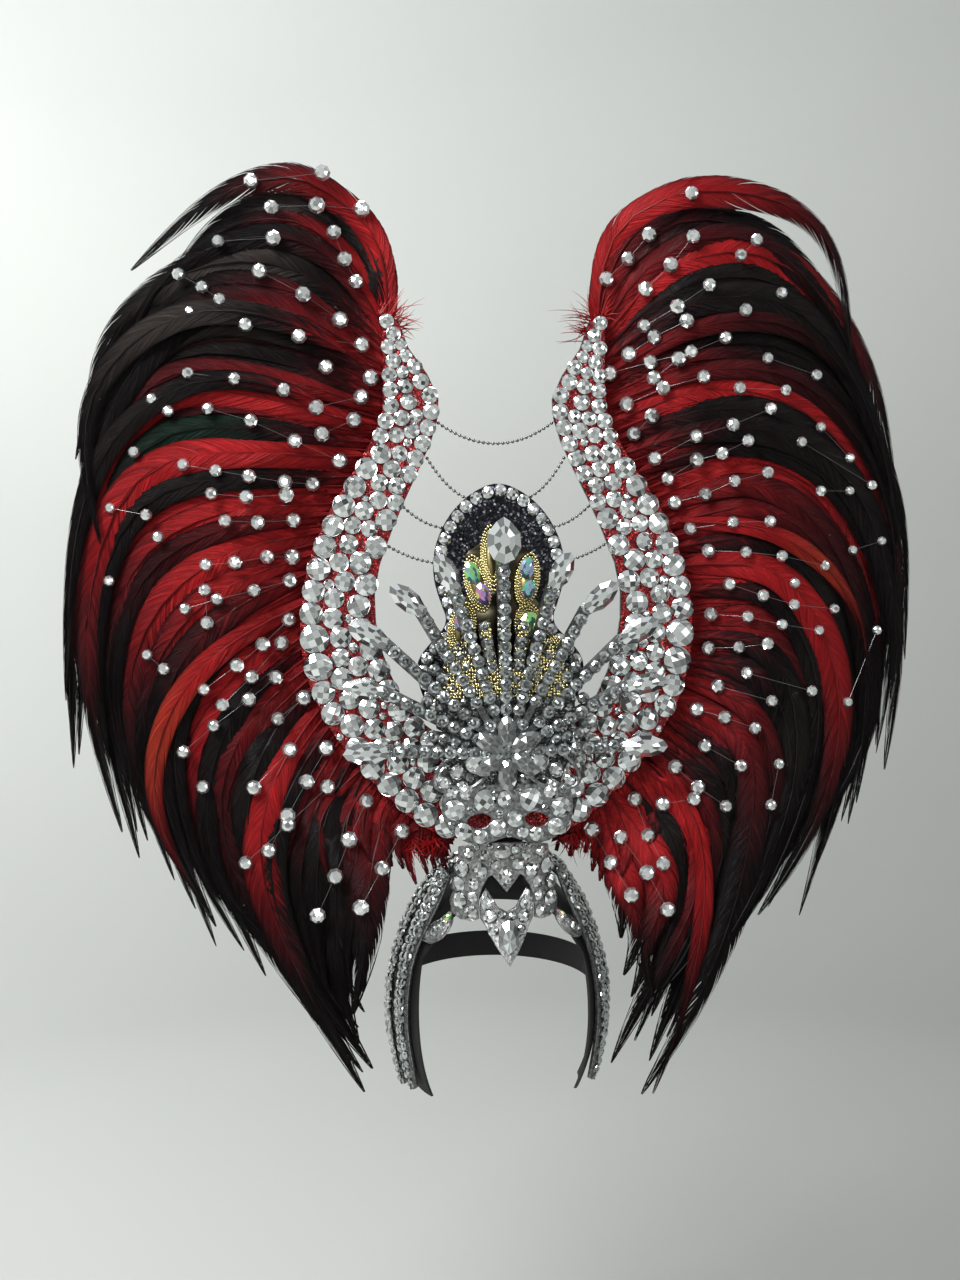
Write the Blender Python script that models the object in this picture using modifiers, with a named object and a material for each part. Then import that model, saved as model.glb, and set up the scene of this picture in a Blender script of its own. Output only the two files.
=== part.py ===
"""Carnival feather headdress.

Two lyre shaped panels set with stones stand on an open cage that sits on a head.
Feathers leave the outer edge of each panel and fall outward in nested arcs.  A
medallion hangs between the panels on fine chains, and a spray of stones fans out
from a hub in front of it.  The wearer looks along -Y, and +Z is up.  The origin is
the top of the head, on the underside of the cage lining.  Sizes are in millimetres
until a mesh is made.
"""
import math

import bmesh
import bpy
import numpy as np
from mathutils import Matrix

MM = 0.001
GAP = 0.3
WELD = 0.00001

# Head form: half width, half depth and height of the crown above its widest level
HEAD_WIDE = 79.0
HEAD_DEEP = 97.0
HEAD_HIGH = 110.0
HEAD_MID_Y = 20.0
HEAD_BOXY = 0.4

# Planes, front to back
PANEL_FRONT = -50.0
PANEL_THICK = 4.0
PANEL_BACK = PANEL_FRONT + PANEL_THICK
MEDALLION_THICK = 2.7
MEDALLION_FRONT = PANEL_FRONT - GAP - MEDALLION_THICK
SPRAY_THICK = 4.0
SPRAY_FRONT = -76.0
SPRAY_BACK = SPRAY_FRONT + SPRAY_THICK
HUB = (0.0, 90.0)
CROWN_FRONT_Y = -60.0

# Lyre panel: its two edges from tip to base, as distance from the centre and height
PANEL_OUTER = [
    (85, 417), (84, 385), (84, 362), (85, 345), (91, 328), (103, 306), (115, 288), (127, 268),
    (138, 243), (145, 218), (148.5, 190), (147.5, 165), (143, 144), (135, 122), (123, 101),
    (104, 76), (87, 58), (71, 43), (54, 31), (39, 25), (0.2, 25),
]
PANEL_INNER = [
    (72, 412), (65, 392), (51, 372), (43, 354), (44, 339), (49, 322), (59, 300), (70, 277),
    (80, 254), (89, 230), (93, 208), (92.5, 188), (89, 168), (82, 148), (73, 129), (59, 112),
    (40, 97), (20, 88), (0.2, 85),
]

# Panel stones: share of the way down, and the diameters in the outer, middle and inner row
PANEL_STONES = [
    (0.00, 9.0, 9.0, 8.0), (0.12, 10.0, 10.0, 10.5), (0.24, 14.0, 12.0, 11.5),
    (0.40, 15.5, 13.0, 14.5), (0.52, 19.0, 15.0, 15.0), (0.75, 18.5, 15.5, 14.5),
    (1.00, 17.5, 15.0, 14.0),
]
STONE_EDGE = 1.0
STONE_SPACE = 0.7
STONE_SINK = 1.0
SMALLEST_SOLID_STONE = 14.2
FACETS = 8
PLAIN_BASE_HALF = 45.0

# Medallion: half width at each height
MEDALLION_HALF = [
    (0, 292), (21, 283), (38, 266), (48.5, 243.5), (50, 221), (45, 203), (38.5, 186), (52, 172),
    (62, 160), (63.5, 146), (55, 121), (38, 100), (20, 84), (16, 62),
]

# Gold ornament: right half of its plate, how far out its lower left lobe stands, and its
# leaves as distance from the centre, height, lean, width and length
GOLD_HALF = [
    (0, 262), (9, 258), (13, 246), (17, 243), (26, 238), (27, 224), (22, 208), (27, 204),
    (31, 196), (29, 180), (22, 166), (16, 160), (0, 158),
]
GOLD_LEFT_LOBE = 36
GOLD_LEAVES = [
    (21, 225, 4, 11, 30), (22, 186, -6, 14, 34), (-19, 225, -6, 11, 30), (-30, 190, 14, 12, 34),
    (-11, 244, 12, 8, 38),
]

# Spray: end stones as distance from the centre, height, lean from upright, width and length
SPRAY_ENDS = [
    (0, 245, 0, 24, 33), (42, 222, 28, 15, 30), (71, 203, 50, 15, 31),
    (99, 178, 62, 15, 32), (103, 139, 82, 14, 31), (102, 93, 92, 15, 33),
]
SPIKE_WIDE = 9.5
SPIKE_RISE = 4.0
SPIKE_START = 14.0
END_STONE_BACK = SPRAY_FRONT - SPIKE_RISE - GAP
END_STONE_HIGH = 6.5
TEARDROP_HIGH = 8.0
POST_RADIUS = 13.0
POST_BELOW_HUB = 5.0

# Flower over the hub, and the stones of the base ornament as place and diameter
PETALS = 6
PETAL_REACH = 15.5
PETAL_SIZE = (12.0, 24.0, 5.0)
FLOWER_STONE = (15.0, 9.0)
BASE_THICK = 3.0
BASE_FRONT = SPRAY_FRONT - GAP - BASE_THICK
BASE_STONES = [(17, 56, 17), (39, 50, 15)]
GOLD_THICK = 1.6
LEAF_HIGH = 5.0
BROW_THICK = 3.0
SPRAY_FAN = [
    (0, 192), (22, 184), (38, 168), (49, 148), (52, 124), (50, 100), (44, 78), (36, 60), (0, 50),
]

# Mask shaped base ornament: right half of the outline, then one cut-out
BASE_HALF = [
    (0, 68), (30, 67), (45, 68), (49, 54), (47, 40), (38, 30), (27, 24.5), (16, 24.5), (6, 28),
    (0, 29.3),
]
BASE_EYE = [(11, 42), (17, 36), (26, 36), (31, 41), (26, 46), (16, 47)]

# Brow: right halves of the bridge with its drop, and of the pendant piece under it
BRIDGE_HALF = [
    (0, 23), (20, 22), (34, 19), (34.5, 4), (35.5, -6), (38, -14), (41, -22), (40, -30),
    (34, -34.5), (26, -35.5), (20.6, -33.5), (20.8, -26), (20, -18), (17.5, -10), (13.5, -3),
    (10.5, -1), (0, -14),
]
BROW_HALF = [
    (0, -28.5), (6.5, -25), (10.5, -18), (15.2, -11), (18.4, -18.5), (20.2, -26), (19.9, -33),
    (16, -39), (13, -46), (8, -55), (0, -66),
]

# Arms of the cage: distance from the centre, depth, height and width of each section
OUTER_ARM = [
    (17, -41, 12, 11), (33, -32, 6, 15), (50, -20, -10, 17), (64.5, -10, -33, 18),
    (75, -6, -60, 18), (82.5, -4, -90, 18), (83.5, -3, -120, 17), (79.5, -3, -148, 15),
    (75, -3, -170, 8),
]
INNER_ARM = [
    (43.5, -42.5, 0, 13), (49.5, -38.5, -15, 16), (60, -33, -38, 16), (70, -28, -62, 16),
    (75.5, -26, -90, 15), (76.5, -25, -120, 14), (73, -24, -148, 13), (69, -23, -168, 7),
]
ARM_THICK = 6.0
CURL_LIFT = 9.0
CURL_LEAF = [
    (57, -47.8, 7), (54, -46.8, 12.5), (49.8, -44.2, 15), (46, -41.3, 12), (43.5, -38.5, 7),
    (42, -36.5, 1.2),
]

# Cage lining: angle from the front, and height of the cap's lower edge there
LINING_EDGE = [
    (0, -14), (10, -15), (20, -20), (30, -28), (39, -38), (48, -54), (55, -68), (62, -68),
    (69, -68), (76, -66), (83, -62), (95, -56), (110, -52), (127, -52), (145, -52), (163, -52),
    (180, -52),
]
LINING_ARM = (55, 83, -174.0)
LINING_ARM_STEPS = 5
LINING_THICK = 2.0
LINING_RINGS = 5
STRAP_TOP = -80.0
STRAP_BOTTOM = -102.0
STRAP_START = 77.0
STRAP_OUTER = -1.1
STRAP_INNER = -2.6

# Chains: distance from the centre and height at the panel and at the medallion, and sag
SIDE_CHAINS = [(52, 310, 22, 279, 5), (73, 276, 39, 257, 4), (88, 248, 46, 231, 3)]
TOP_CHAIN = (49, 341, 20)
CHAIN_RADIUS = 1.1

# Feathers: height of the root on the panel edge, then distance and height of crest,
# shoulder, fall and tip, one row a guide feather from the panel's tip to its base
LEFT_FEATHERS = [
    (417, 90, 494, 150, 520, 219, 490, 267, 436),
    (408, 108, 484, 158, 505, 212, 484, 257, 429),
    (393, 122, 430, 205, 443, 271, 399, 309, 327),
    (378, 128, 402, 216, 405, 285, 335, 319, 233),
    (361, 145, 378, 246, 357, 300, 250, 315, 108),
    (336, 153, 348, 242, 325, 296, 207, 294, 111),
    (314, 169, 318, 250, 266, 292, 119, 280, 46),
    (287, 184, 280, 251, 192, 271, 89, 251, 17),
    (258, 185, 228, 241, 147, 250, 51, 215, -36),
    (228, 182, 183, 224, 117, 222, 21, 175, -73),
    (190, 175, 146, 204, 87, 187, 2, 152, -98),
    (156, 169, 108, 184, 42, 158, -44, 107, -132),
    (126, 158, 78, 167, 11, 142, -72, 102, -154),
    (100, 144, 48, 149, -19, 124, -95, 90, -142),
    (77, 122, 25, 127, -35, 116, -81, 99, -104),
    (55, 96, 9, 104, -36, 104, -66, 98, -86),
]
RIGHT_FEATHERS = [
    (417, 97, 488, 165, 518, 244, 491, 283, 426),
    (408, 116, 479, 180, 504, 260, 454, 296, 368),
    (393, 124, 448, 195, 469, 283, 396, 313, 289),
    (378, 131, 418, 217, 421, 290, 320, 321, 230),
    (361, 146, 387, 232, 383, 309, 275, 328, 169),
    (336, 162, 360, 248, 330, 307, 220, 312, 125),
    (314, 177, 333, 249, 294, 305, 167, 297, 69),
    (287, 192, 294, 256, 239, 293, 121, 277, 35),
    (258, 200, 255, 251, 184, 282, 89, 251, -7),
    (228, 199, 208, 241, 129, 240, 43, 189, -62),
    (190, 198, 162, 224, 83, 208, 5, 154, -82),
    (156, 189, 123, 205, 52, 184, -22, 140, -105),
    (126, 176, 84, 183, 22, 166, -55, 110, -160),
    (100, 156, 54, 159, 0, 146, -70, 112, -133),
    (77, 136, 31, 139, -23, 122, -84, 96, -128),
    (55, 108, 17, 112, -22, 108, -60, 98, -84),
]
FEATHERS_A_BANK = 5
BANK_NAMES = ["crest", "shoulder", "side", "hanging", "lower"]
FEATHER_WIDTHS = [
    (0.0, 7), (0.13, 14), (0.32, 25), (0.54, 28), (0.74, 26), (0.9, 16), (1.0, 1.2),
]
FEATHER_THICK = 2.1
LAYER_ORDER = [0, 2, 4, 1, 3]
LAYER_STEP = 7.0
ROOT_Y = -38.0
ROOT_SPREAD = 0.35
BACKING_WIDE = 15.0
BACKING_DEEP = 14.0
BACKING_SPACE = 3.5
ROOT_INSET = 5.0
HIGHEST_ROOT = 411.0


def start_scene():
    """Empties the scene and makes the two collections"""
    for item in list(bpy.data.objects):
        bpy.data.objects.remove(item, do_unlink=True)
    groups = []
    for title in ("carnival_feather_headdress", "cutters"):
        group = bpy.data.collections.new(title)
        bpy.context.scene.collection.children.link(group)
        groups.append(group)
    return groups


PARTS, CUTTERS = start_scene()


def finish_material(name, colour, roughness, metallic):
    """A Principled material with the finish of one kind of piece"""
    made = bpy.data.materials.new(name)
    made.use_nodes = True
    shader = made.node_tree.nodes["Principled BSDF"]
    shader.inputs["Base Color"].default_value = (*colour, 1.0)
    shader.inputs["Roughness"].default_value = roughness
    shader.inputs["Metallic"].default_value = metallic
    return made


STONE_SILVER = finish_material("stone_silver", (0.72, 0.74, 0.76), 0.12, 1.0)
RED_GLITTER = finish_material("red_glitter", (0.45, 0.02, 0.03), 0.35, 0.3)
BLACK_GLITTER = finish_material("black_glitter", (0.01, 0.01, 0.015), 0.35, 0.2)
GOLD_BEAD = finish_material("gold_bead", (0.62, 0.46, 0.16), 0.3, 1.0)
BLACK_FELT = finish_material("black_felt", (0.012, 0.012, 0.012), 0.9, 0.0)
FEATHER_RED = finish_material("feather_red", (0.35, 0.015, 0.02), 0.55, 0.0)
FEATHER_BLACK = finish_material("feather_black", (0.02, 0.012, 0.014), 0.5, 0.0)
CHAIN_STEEL = finish_material("chain_steel", (0.5, 0.5, 0.5), 0.3, 1.0)


def place(name, mesh, material, group=None):
    """Links a mesh as a named object in its collection"""
    item = bpy.data.objects.new(name, mesh)
    item.data.materials.append(material)
    (group or PARTS).objects.link(item)
    if group is CUTTERS:
        item.hide_render = True
        item.display_type = "WIRE"
    return item


def mesh_from(shape, name):
    """Turns a bmesh in millimetres into a mesh in metres with its faces pointing out"""
    bmesh.ops.recalc_face_normals(shape, faces=shape.faces)
    bmesh.ops.scale(shape, vec=(MM, MM, MM), verts=shape.verts)
    mesh = bpy.data.meshes.new(name)
    shape.to_mesh(mesh)
    shape.free()
    return mesh


def add_loft(shape, sections, creased=False):
    """Skins a row of closed sections, each an array of points, and caps both ends

    A creased skin is made of triangles whose diagonals start at the even points of a
    section, so that the two faces of a thin lens bend alike and never cross.
    """
    rings = [[shape.verts.new(point) for point in section] for section in sections]
    count = len(rings[0])
    for ring, following in zip(rings, rings[1:]):
        for k in range(count):
            corner = (k + 1) % count
            if not creased:
                shape.faces.new((ring[k], ring[corner], following[corner], following[k]))
            elif k % 2 == 0:
                shape.faces.new((ring[k], ring[corner], following[corner]))
                shape.faces.new((ring[k], following[corner], following[k]))
            else:
                shape.faces.new((ring[k], ring[corner], following[k]))
                shape.faces.new((ring[corner], following[corner], following[k]))
    shape.faces.new(rings[0])
    shape.faces.new(rings[-1])


def loft(name, sections, material, group=None, creased=False):
    """One lofted solid"""
    shape = bmesh.new()
    add_loft(shape, sections, creased)
    return place(name, mesh_from(shape, name), material, group)


def fuse(base, *tools, solver="EXACT"):
    """Joins other solids to a base with Boolean unions"""
    for tool in tools:
        union = base.modifiers.new("fuse_" + tool.name, "BOOLEAN")
        union.operation = "UNION"
        union.solver = solver
        union.object = tool
    return base


def mirrored(half):
    """A whole outline from its right half, which runs from the centre to the centre"""
    left = [(-x, z) for x, z in reversed(half) if x > 0]
    return list(half) + left


def outline_curve(name, outlines, half_thick, fill):
    """A 2D curve of closed outlines that stands upright and faces the front"""
    curve = bpy.data.curves.new(name, "CURVE")
    curve.dimensions = "2D"
    curve.fill_mode = fill
    curve.extrude = half_thick * MM
    for outline in outlines:
        spline = curve.splines.new("POLY")
        spline.points.add(len(outline) - 1)
        for point, (x, z) in zip(spline.points, outline):
            point.co = (x * MM, z * MM, 0.0, 1.0)
        spline.use_cyclic_u = True
    item = bpy.data.objects.new(name, curve)
    item.rotation_euler = (math.pi / 2, 0.0, 0.0)
    PARTS.objects.link(item)
    return item


def plain_mesh(item):
    """Turns a curve object into a welded mesh in world space and removes the curve"""
    bpy.context.view_layer.update()
    evaluated = item.evaluated_get(bpy.context.evaluated_depsgraph_get())
    mesh = bpy.data.meshes.new_from_object(evaluated)
    mesh.transform(item.matrix_world)
    shape = bmesh.new()
    shape.from_mesh(mesh)
    bmesh.ops.remove_doubles(shape, verts=shape.verts, dist=WELD)
    shape.to_mesh(mesh)
    shape.free()
    mesh.materials.clear()
    bpy.data.objects.remove(item, do_unlink=True)
    return mesh


def flat_plate(name, outlines, front, thick, material):
    """A flat plate cut to closed outlines, with its front face at a given depth"""
    curve = outline_curve(name + "_outline", outlines, thick / 2, "BOTH")
    curve.location.y = (front + thick / 2) * MM
    mesh = plain_mesh(curve)
    mesh.name = name
    return place(name, mesh, material)


def bent_plate(name, outline, depth_at, thick, cuts, material):
    """A plate cut to an outline, bent so that its back follows a depth, and thickened"""
    mesh = plain_mesh(outline_curve(name + "_outline", [outline], 0.0, "FRONT"))
    shape = bmesh.new()
    shape.from_mesh(mesh)
    bpy.data.meshes.remove(mesh)
    for axis, place_at in cuts:
        normal = (1, 0, 0) if axis == "x" else (0, 0, 1)
        point = tuple(place_at * MM * n for n in normal)
        everything = shape.verts[:] + shape.edges[:] + shape.faces[:]
        bmesh.ops.bisect_plane(shape, geom=everything, plane_co=point, plane_no=normal)
    bmesh.ops.triangulate(shape, faces=shape.faces)
    for face in shape.faces:
        if face.normal.y > 0:
            face.normal_flip()
    for vert in shape.verts:
        vert.co.y = depth_at(vert.co.x / MM, vert.co.z / MM) * MM
    mesh = bpy.data.meshes.new(name)
    shape.to_mesh(mesh)
    shape.free()
    item = place(name, mesh, material)
    wall = item.modifiers.new("wall", "SOLIDIFY")
    wall.thickness = thick * MM
    wall.offset = 1.0
    return item


def add_round_stone(shape, x, front, z, diameter, height):
    """A faceted round stone with eight crown facets and a table, sunk into its setting"""
    depth = height + STONE_SINK
    middle = (x, front + STONE_SINK - depth / 2, z)
    turn = Matrix.Rotation(math.pi / 2, 4, "X") @ Matrix.Rotation(math.pi / 8, 4, "Z")
    bmesh.ops.create_cone(shape, cap_ends=True, segments=8, radius1=diameter / 2,
                          radius2=diameter * 0.27, depth=depth,
                          matrix=Matrix.Translation(middle) @ turn)


def stone_field(name, stones, front):
    """Round stones, each with its place and diameter, as one cutter to be fused"""
    shape = bmesh.new()
    for x, z, diameter in stones:
        add_round_stone(shape, x, front, z, diameter, diameter * 0.3)
    return place(name, mesh_from(shape, name), STONE_SILVER, CUTTERS)


def fancy_outline(width, length, pointed_below):
    """Outline of a navette, or of a teardrop whose point is up, round its own middle"""
    points = []
    for k in range(FACETS):
        turn = 2 * math.pi * k / FACETS
        wide = math.sin(turn)
        tall = math.cos(turn)
        narrow = abs(wide) ** 0.35 if pointed_below or tall > 0 else 1.0
        points.append((width / 2 * wide * narrow, length / 2 * tall))
    return np.array(points)


def fancy_stone(name, x, z, lean, width, length, back, height, pointed_below=True,
                group=None):
    """A navette or teardrop: its girdle on the back, its crown facets and a table"""
    outline = fancy_outline(width, length, pointed_below)
    angle = math.radians(lean)
    across = outline[:, 0] * math.cos(angle) + outline[:, 1] * math.sin(angle)
    up = outline[:, 1] * math.cos(angle) - outline[:, 0] * math.sin(angle)
    sections = []
    steps = ((1.0, back), (0.5, back - height))
    if group is None:
        steps = ((0.9, back), (1.0, back - height * 0.35), (0.5, back - height))
    for scale, depth in steps:
        sections.append(np.stack([x + across * scale, np.full(FACETS, depth), z + up * scale], 1))
    return loft(name, sections, STONE_SILVER, group)


def along(points, shares):
    """Points at shares of the length of a line"""
    points = np.array(points, float)
    steps = np.hypot(*np.diff(points, axis=0).T)
    walked = np.concatenate([[0.0], np.cumsum(steps)]) / steps.sum()
    return np.stack([np.interp(shares, walked, points[:, 0]),
                     np.interp(shares, walked, points[:, 1])], -1)


def panel_stones():
    """Places of the stones of one panel: an outer, an inner and one or two middle rows"""
    shares, outer, middle, inner = np.array(PANEL_STONES).T
    length = np.hypot(*np.diff(np.array(PANEL_OUTER, float), axis=0).T).sum()
    placed = []
    for row in ("outer", "inner", "middle", "second"):
        share = 0.012 if row == "outer" else 0.03
        while share < 0.985:
            rim = along(PANEL_OUTER, share)
            lip = along(PANEL_INNER, share)
            wide = np.hypot(*(lip - rim))
            across = (lip - rim) / wide
            big = np.interp(share, shares, outer)
            small = np.interp(share, shares, inner)
            core = wide - big - small - 2 * STONE_EDGE
            size = np.interp(share, shares, middle)
            if row == "outer":
                size, at = big, STONE_EDGE + big / 2
            elif row == "inner":
                size, at = small, wide - STONE_EDGE - small / 2
            elif row == "middle":
                at = STONE_EDGE + big + (core / 2 if core < 2 * size else core * 0.27)
            else:
                at = STONE_EDGE + big + core * 0.76
                size = 0.0 if core < 2 * size else size
            spot = rim + across * at
            room = min((np.hypot(*(spot - other[:2])) - other[2] / 2 for other in placed),
                       default=99.0) - STONE_SPACE
            if size > 0 and room < size / 2:
                size = 2 * room if 2 * room > 0.82 * size else 0.0
            if size > 0:
                placed.append(np.array([spot[0], spot[1], size]))
                share += (size + STONE_SPACE) * 0.5 / length
            share += 0.006
    return placed


def make_panel(side, prefix):
    """A lyre panel with its larger stones fused to it"""
    outline = PANEL_OUTER + PANEL_INNER[::-1]
    plate = flat_plate(prefix + "_panel", [[(side * x, z) for x, z in outline]],
                       PANEL_FRONT, PANEL_THICK, RED_GLITTER)
    stones = [(side * x, z, size) for x, z, size in panel_stones()
              if size >= SMALLEST_SOLID_STONE and (abs(x) > PLAIN_BASE_HALF or z > 110)]
    return fuse(plate, stone_field(prefix + "_panel_stones", stones, PANEL_FRONT))


def make_medallion():
    """The flat medallion whose stem runs down between the panels and the spray"""
    outline = mirrored(MEDALLION_HALF + [(0, MEDALLION_HALF[-1][1])])
    return flat_plate("medallion", [outline], MEDALLION_FRONT, MEDALLION_THICK, BLACK_GLITTER)


def head_point(angle, height, offset):
    """A point off the head at an angle from the front and a height, for arrays too"""
    angle = np.radians(angle)
    power = 2.0 + HEAD_BOXY * np.cos(angle) ** 2
    level = np.clip(np.abs(height + HEAD_HIGH) / (HEAD_HIGH + offset), 0.0, 1.0)
    shrink = (1.0 - level ** power) ** (1.0 / power)
    x = (HEAD_WIDE + offset) * shrink * np.sin(angle)
    y = HEAD_MID_Y - (HEAD_DEEP + offset) * shrink * np.cos(angle)
    return np.stack(np.broadcast_arrays(x, y, height), -1)


def head_normal(point):
    """Direction straight out of the head at a point near it"""
    x, y, z = point
    out = np.array([x / HEAD_WIDE ** 2, (y - HEAD_MID_Y) / HEAD_DEEP ** 2,
                    (z + HEAD_HIGH) / HEAD_HIGH ** 2])
    return out / np.linalg.norm(out)


def band_sections(rows, thick):
    """Sections of a band with a flat back and a domed front, along rows of point and width"""
    points = rows[:, :3]
    runs = np.gradient(points, axis=0)
    sections = []
    for point, run, width in zip(points, runs, rows[:, 3]):
        out = head_normal(point)
        across = np.cross(run, out)
        across /= np.linalg.norm(across)
        profile = [(-0.42, -0.5), (0.42, -0.5), (0.5, -0.1), (0.26, 0.5), (-0.26, 0.5),
                   (-0.5, -0.1)]
        sections.append([point + across * width * a + out * thick * b for a, b in profile])
    return np.array(sections)


def make_arms(side, prefix):
    """The two stone covered bands of one side of the cage"""
    for title, table in (("outer", OUTER_ARM), ("inner", INNER_ARM)):
        rows = np.array(table, float) * (side, 1, 1, 1)
        loft(prefix + "_" + title + "_arm", band_sections(rows, ARM_THICK), STONE_SILVER)


def surface_depth(x, z, offset):
    """Depth of the head's front at a place seen from the front"""
    wide = (x / (HEAD_WIDE + offset)) ** 2
    high = ((z + HEAD_HIGH) / (HEAD_HIGH + offset)) ** 2
    return HEAD_MID_Y - (HEAD_DEEP + offset) * math.sqrt(max(1.0 - wide - high, 0.0))


def make_curl_leaf(side, prefix):
    """The leaf that leaves the inner arm and curls back over the temple"""
    rows = [(side * x, surface_depth(x, z, CURL_LIFT), z, width) for x, z, width in CURL_LEAF]
    loft(prefix + "_curl_leaf", band_sections(np.array(rows, float), 5.0), STONE_SILVER)


def bridge_depth(x, z):
    """Depth of the back of the brow pieces: upright above, leaning out to the pendant"""
    lean = max(0.0, 12.0 - z) * 0.06 + max(0.0, -34.0 - z) * 0.28
    return CROWN_FRONT_Y - lean + x * x / 95.0


def make_brow():
    """The bridge over the brow with its drop, and the pendant piece under it"""
    cuts = [("x", x) for x in (-26, -13, 0, 13, 26)]
    bridge = bent_plate("brow_bridge", mirrored(BRIDGE_HALF), bridge_depth, BROW_THICK,
                        cuts, STONE_SILVER)
    drop = fancy_stone("bridge_drop", 0, -2, 0, 12, 16, bridge_depth(0, -2) - 2.2, 4.0, True,
                       CUTTERS)
    fuse(bridge, drop)
    piece = bent_plate("brow_pendant", mirrored(BROW_HALF), bridge_depth, BROW_THICK,
                       [("x", -10), ("x", 0), ("x", 10), ("z", -34)], STONE_SILVER)
    stone = fancy_stone("pendant_stone", 0, -49, 180, 15, 28, bridge_depth(0, -49) - 2.0, 6.5,
                        False, CUTTERS)
    fuse(piece, stone)


def make_lining():
    """The black lining: a cap with an arm that drops from its edge on each side"""
    angles, edges = np.array(LINING_EDGE, float).T
    angles = np.concatenate([angles, -angles[-2:0:-1]])
    edges = np.concatenate([edges, edges[-2:0:-1]])
    shape = bmesh.new()
    top = shape.verts.new((0.0, HEAD_MID_Y, 0.0))
    rings = []
    for ring in range(1, LINING_RINGS + 1):
        heights = edges * (ring / LINING_RINGS) ** 2
        rings.append([shape.verts.new(p) for p in head_point(angles, heights, 0.0)])
    count = len(angles)
    for k in range(count):
        corner = (k + 1) % count
        shape.faces.new((top, rings[0][k], rings[0][corner]))
        for ring, following in zip(rings, rings[1:]):
            shape.faces.new((ring[k], following[k], following[corner], ring[corner]))
    first, last, low = LINING_ARM
    for side in (1, -1):
        columns = [k for k in range(count) if first <= angles[k] * side <= last]
        above = [rings[-1][k] for k in columns]
        for step in range(1, LINING_ARM_STEPS + 1):
            heights = edges[columns] + (low - edges[columns]) * step / LINING_ARM_STEPS
            below = [shape.verts.new(p) for p in head_point(angles[columns], heights, 0.0)]
            for k in range(len(columns) - 1):
                shape.faces.new((above[k], below[k], below[k + 1], above[k + 1]))
            above = below
    item = place("cage_lining", mesh_from(shape, "cage_lining"), BLACK_FELT)
    wall = item.modifiers.new("wall", "SOLIDIFY")
    wall.thickness = LINING_THICK * MM
    wall.offset = 1.0


def make_back_strap():
    """The plain strap round the back of the head, inside the arms"""
    angles = np.linspace(STRAP_START, 360.0 - STRAP_START, 15)
    sections = []
    for angle in angles:
        corners = [(STRAP_TOP, STRAP_INNER), (STRAP_TOP, STRAP_OUTER),
                   (STRAP_BOTTOM, STRAP_OUTER), (STRAP_BOTTOM, STRAP_INNER)]
        sections.append([head_point(angle, height, offset) for height, offset in corners])
    loft("back_strap", sections, BLACK_FELT)


def make_bracket():
    """The plain hidden bracket that carries panels and brow on the lining"""
    half = 15.0
    shelf_top = 21.0
    shelf_low = 10.0
    plate_back = PANEL_BACK + GAP + PANEL_THICK
    front = bridge_depth(half, shelf_top) + 1.5 * GAP
    profile = [(PANEL_BACK + GAP, 74.0), (plate_back, 74.0), (plate_back + 14.0, shelf_low)]
    for y in (plate_back + 14.0, plate_back + 5.0, plate_back, PANEL_BACK + GAP):
        profile.append((y, head_top(y)))
    profile += [(PANEL_BACK + GAP, shelf_low), (front, shelf_low), (front, shelf_top),
                (PANEL_BACK + GAP, shelf_top)]
    sections = [[(x, y, z) for y, z in profile] for x in (-half, half)]
    loft("support_bracket", sections, BLACK_FELT)


def head_top(y):
    """Height just above the lining on the centre line, at a depth"""
    reach = abs(y - HEAD_MID_Y) / (HEAD_DEEP + LINING_THICK)
    power = 2.0 + HEAD_BOXY
    rise = (1.0 - reach ** power) ** (1.0 / power)
    return rise * (HEAD_HIGH + LINING_THICK) - HEAD_HIGH + 0.5


def spike_outline(x, z, lean, length):
    """Outline of one spike of the spray, from the hub to the heel of its end stone"""
    reach = length * 0.42
    heel = np.array([x - reach * math.sin(math.radians(lean)),
                     z - reach * math.cos(math.radians(lean))])
    start = np.array(HUB)
    run = heel - start
    run /= np.hypot(*run)
    across = np.array([run[1], -run[0]]) * SPIKE_WIDE / 2
    return start + run * SPIKE_START, heel, across


def make_spray():
    """The fan plate, its spikes and the post behind its hub, as one piece"""
    plate = flat_plate("spray", [mirrored(SPRAY_FAN)], SPRAY_FRONT, SPRAY_THICK, STONE_SILVER)
    tools = []
    for row, (x, z, lean, _, length) in enumerate(SPRAY_ENDS):
        for side in ((1,) if x == 0 else (1, -1)):
            start, heel, across = spike_outline(x * side, z, lean * side, length)
            sections = []
            for place_at in (start, heel):
                ring = []
                for share, depth in ((-1.0, SPRAY_BACK - 0.4), (1.0, SPRAY_BACK - 0.4),
                                     (0.5, SPRAY_FRONT - SPIKE_RISE),
                                     (-0.5, SPRAY_FRONT - SPIKE_RISE)):
                    spot = place_at + across * share
                    ring.append((spot[0], depth, spot[1]))
                sections.append(ring)
            tools.append(loft(f"spike_{row}_{side}", sections, STONE_SILVER, CUTTERS))
    post = bmesh.new()
    long = MEDALLION_FRONT - GAP - SPRAY_BACK + 1.0
    middle = (HUB[0], MEDALLION_FRONT - GAP - long / 2, HUB[1] - POST_BELOW_HUB)
    bmesh.ops.create_cone(post, cap_ends=True, segments=12, radius1=POST_RADIUS,
                          radius2=POST_RADIUS, depth=long,
                          matrix=Matrix.Translation(middle) @ Matrix.Rotation(math.pi / 2, 4, "X"))
    tools.append(place("spray_post", mesh_from(post, "spray_post"), STONE_SILVER, CUTTERS))
    fuse(plate, *tools)


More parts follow.
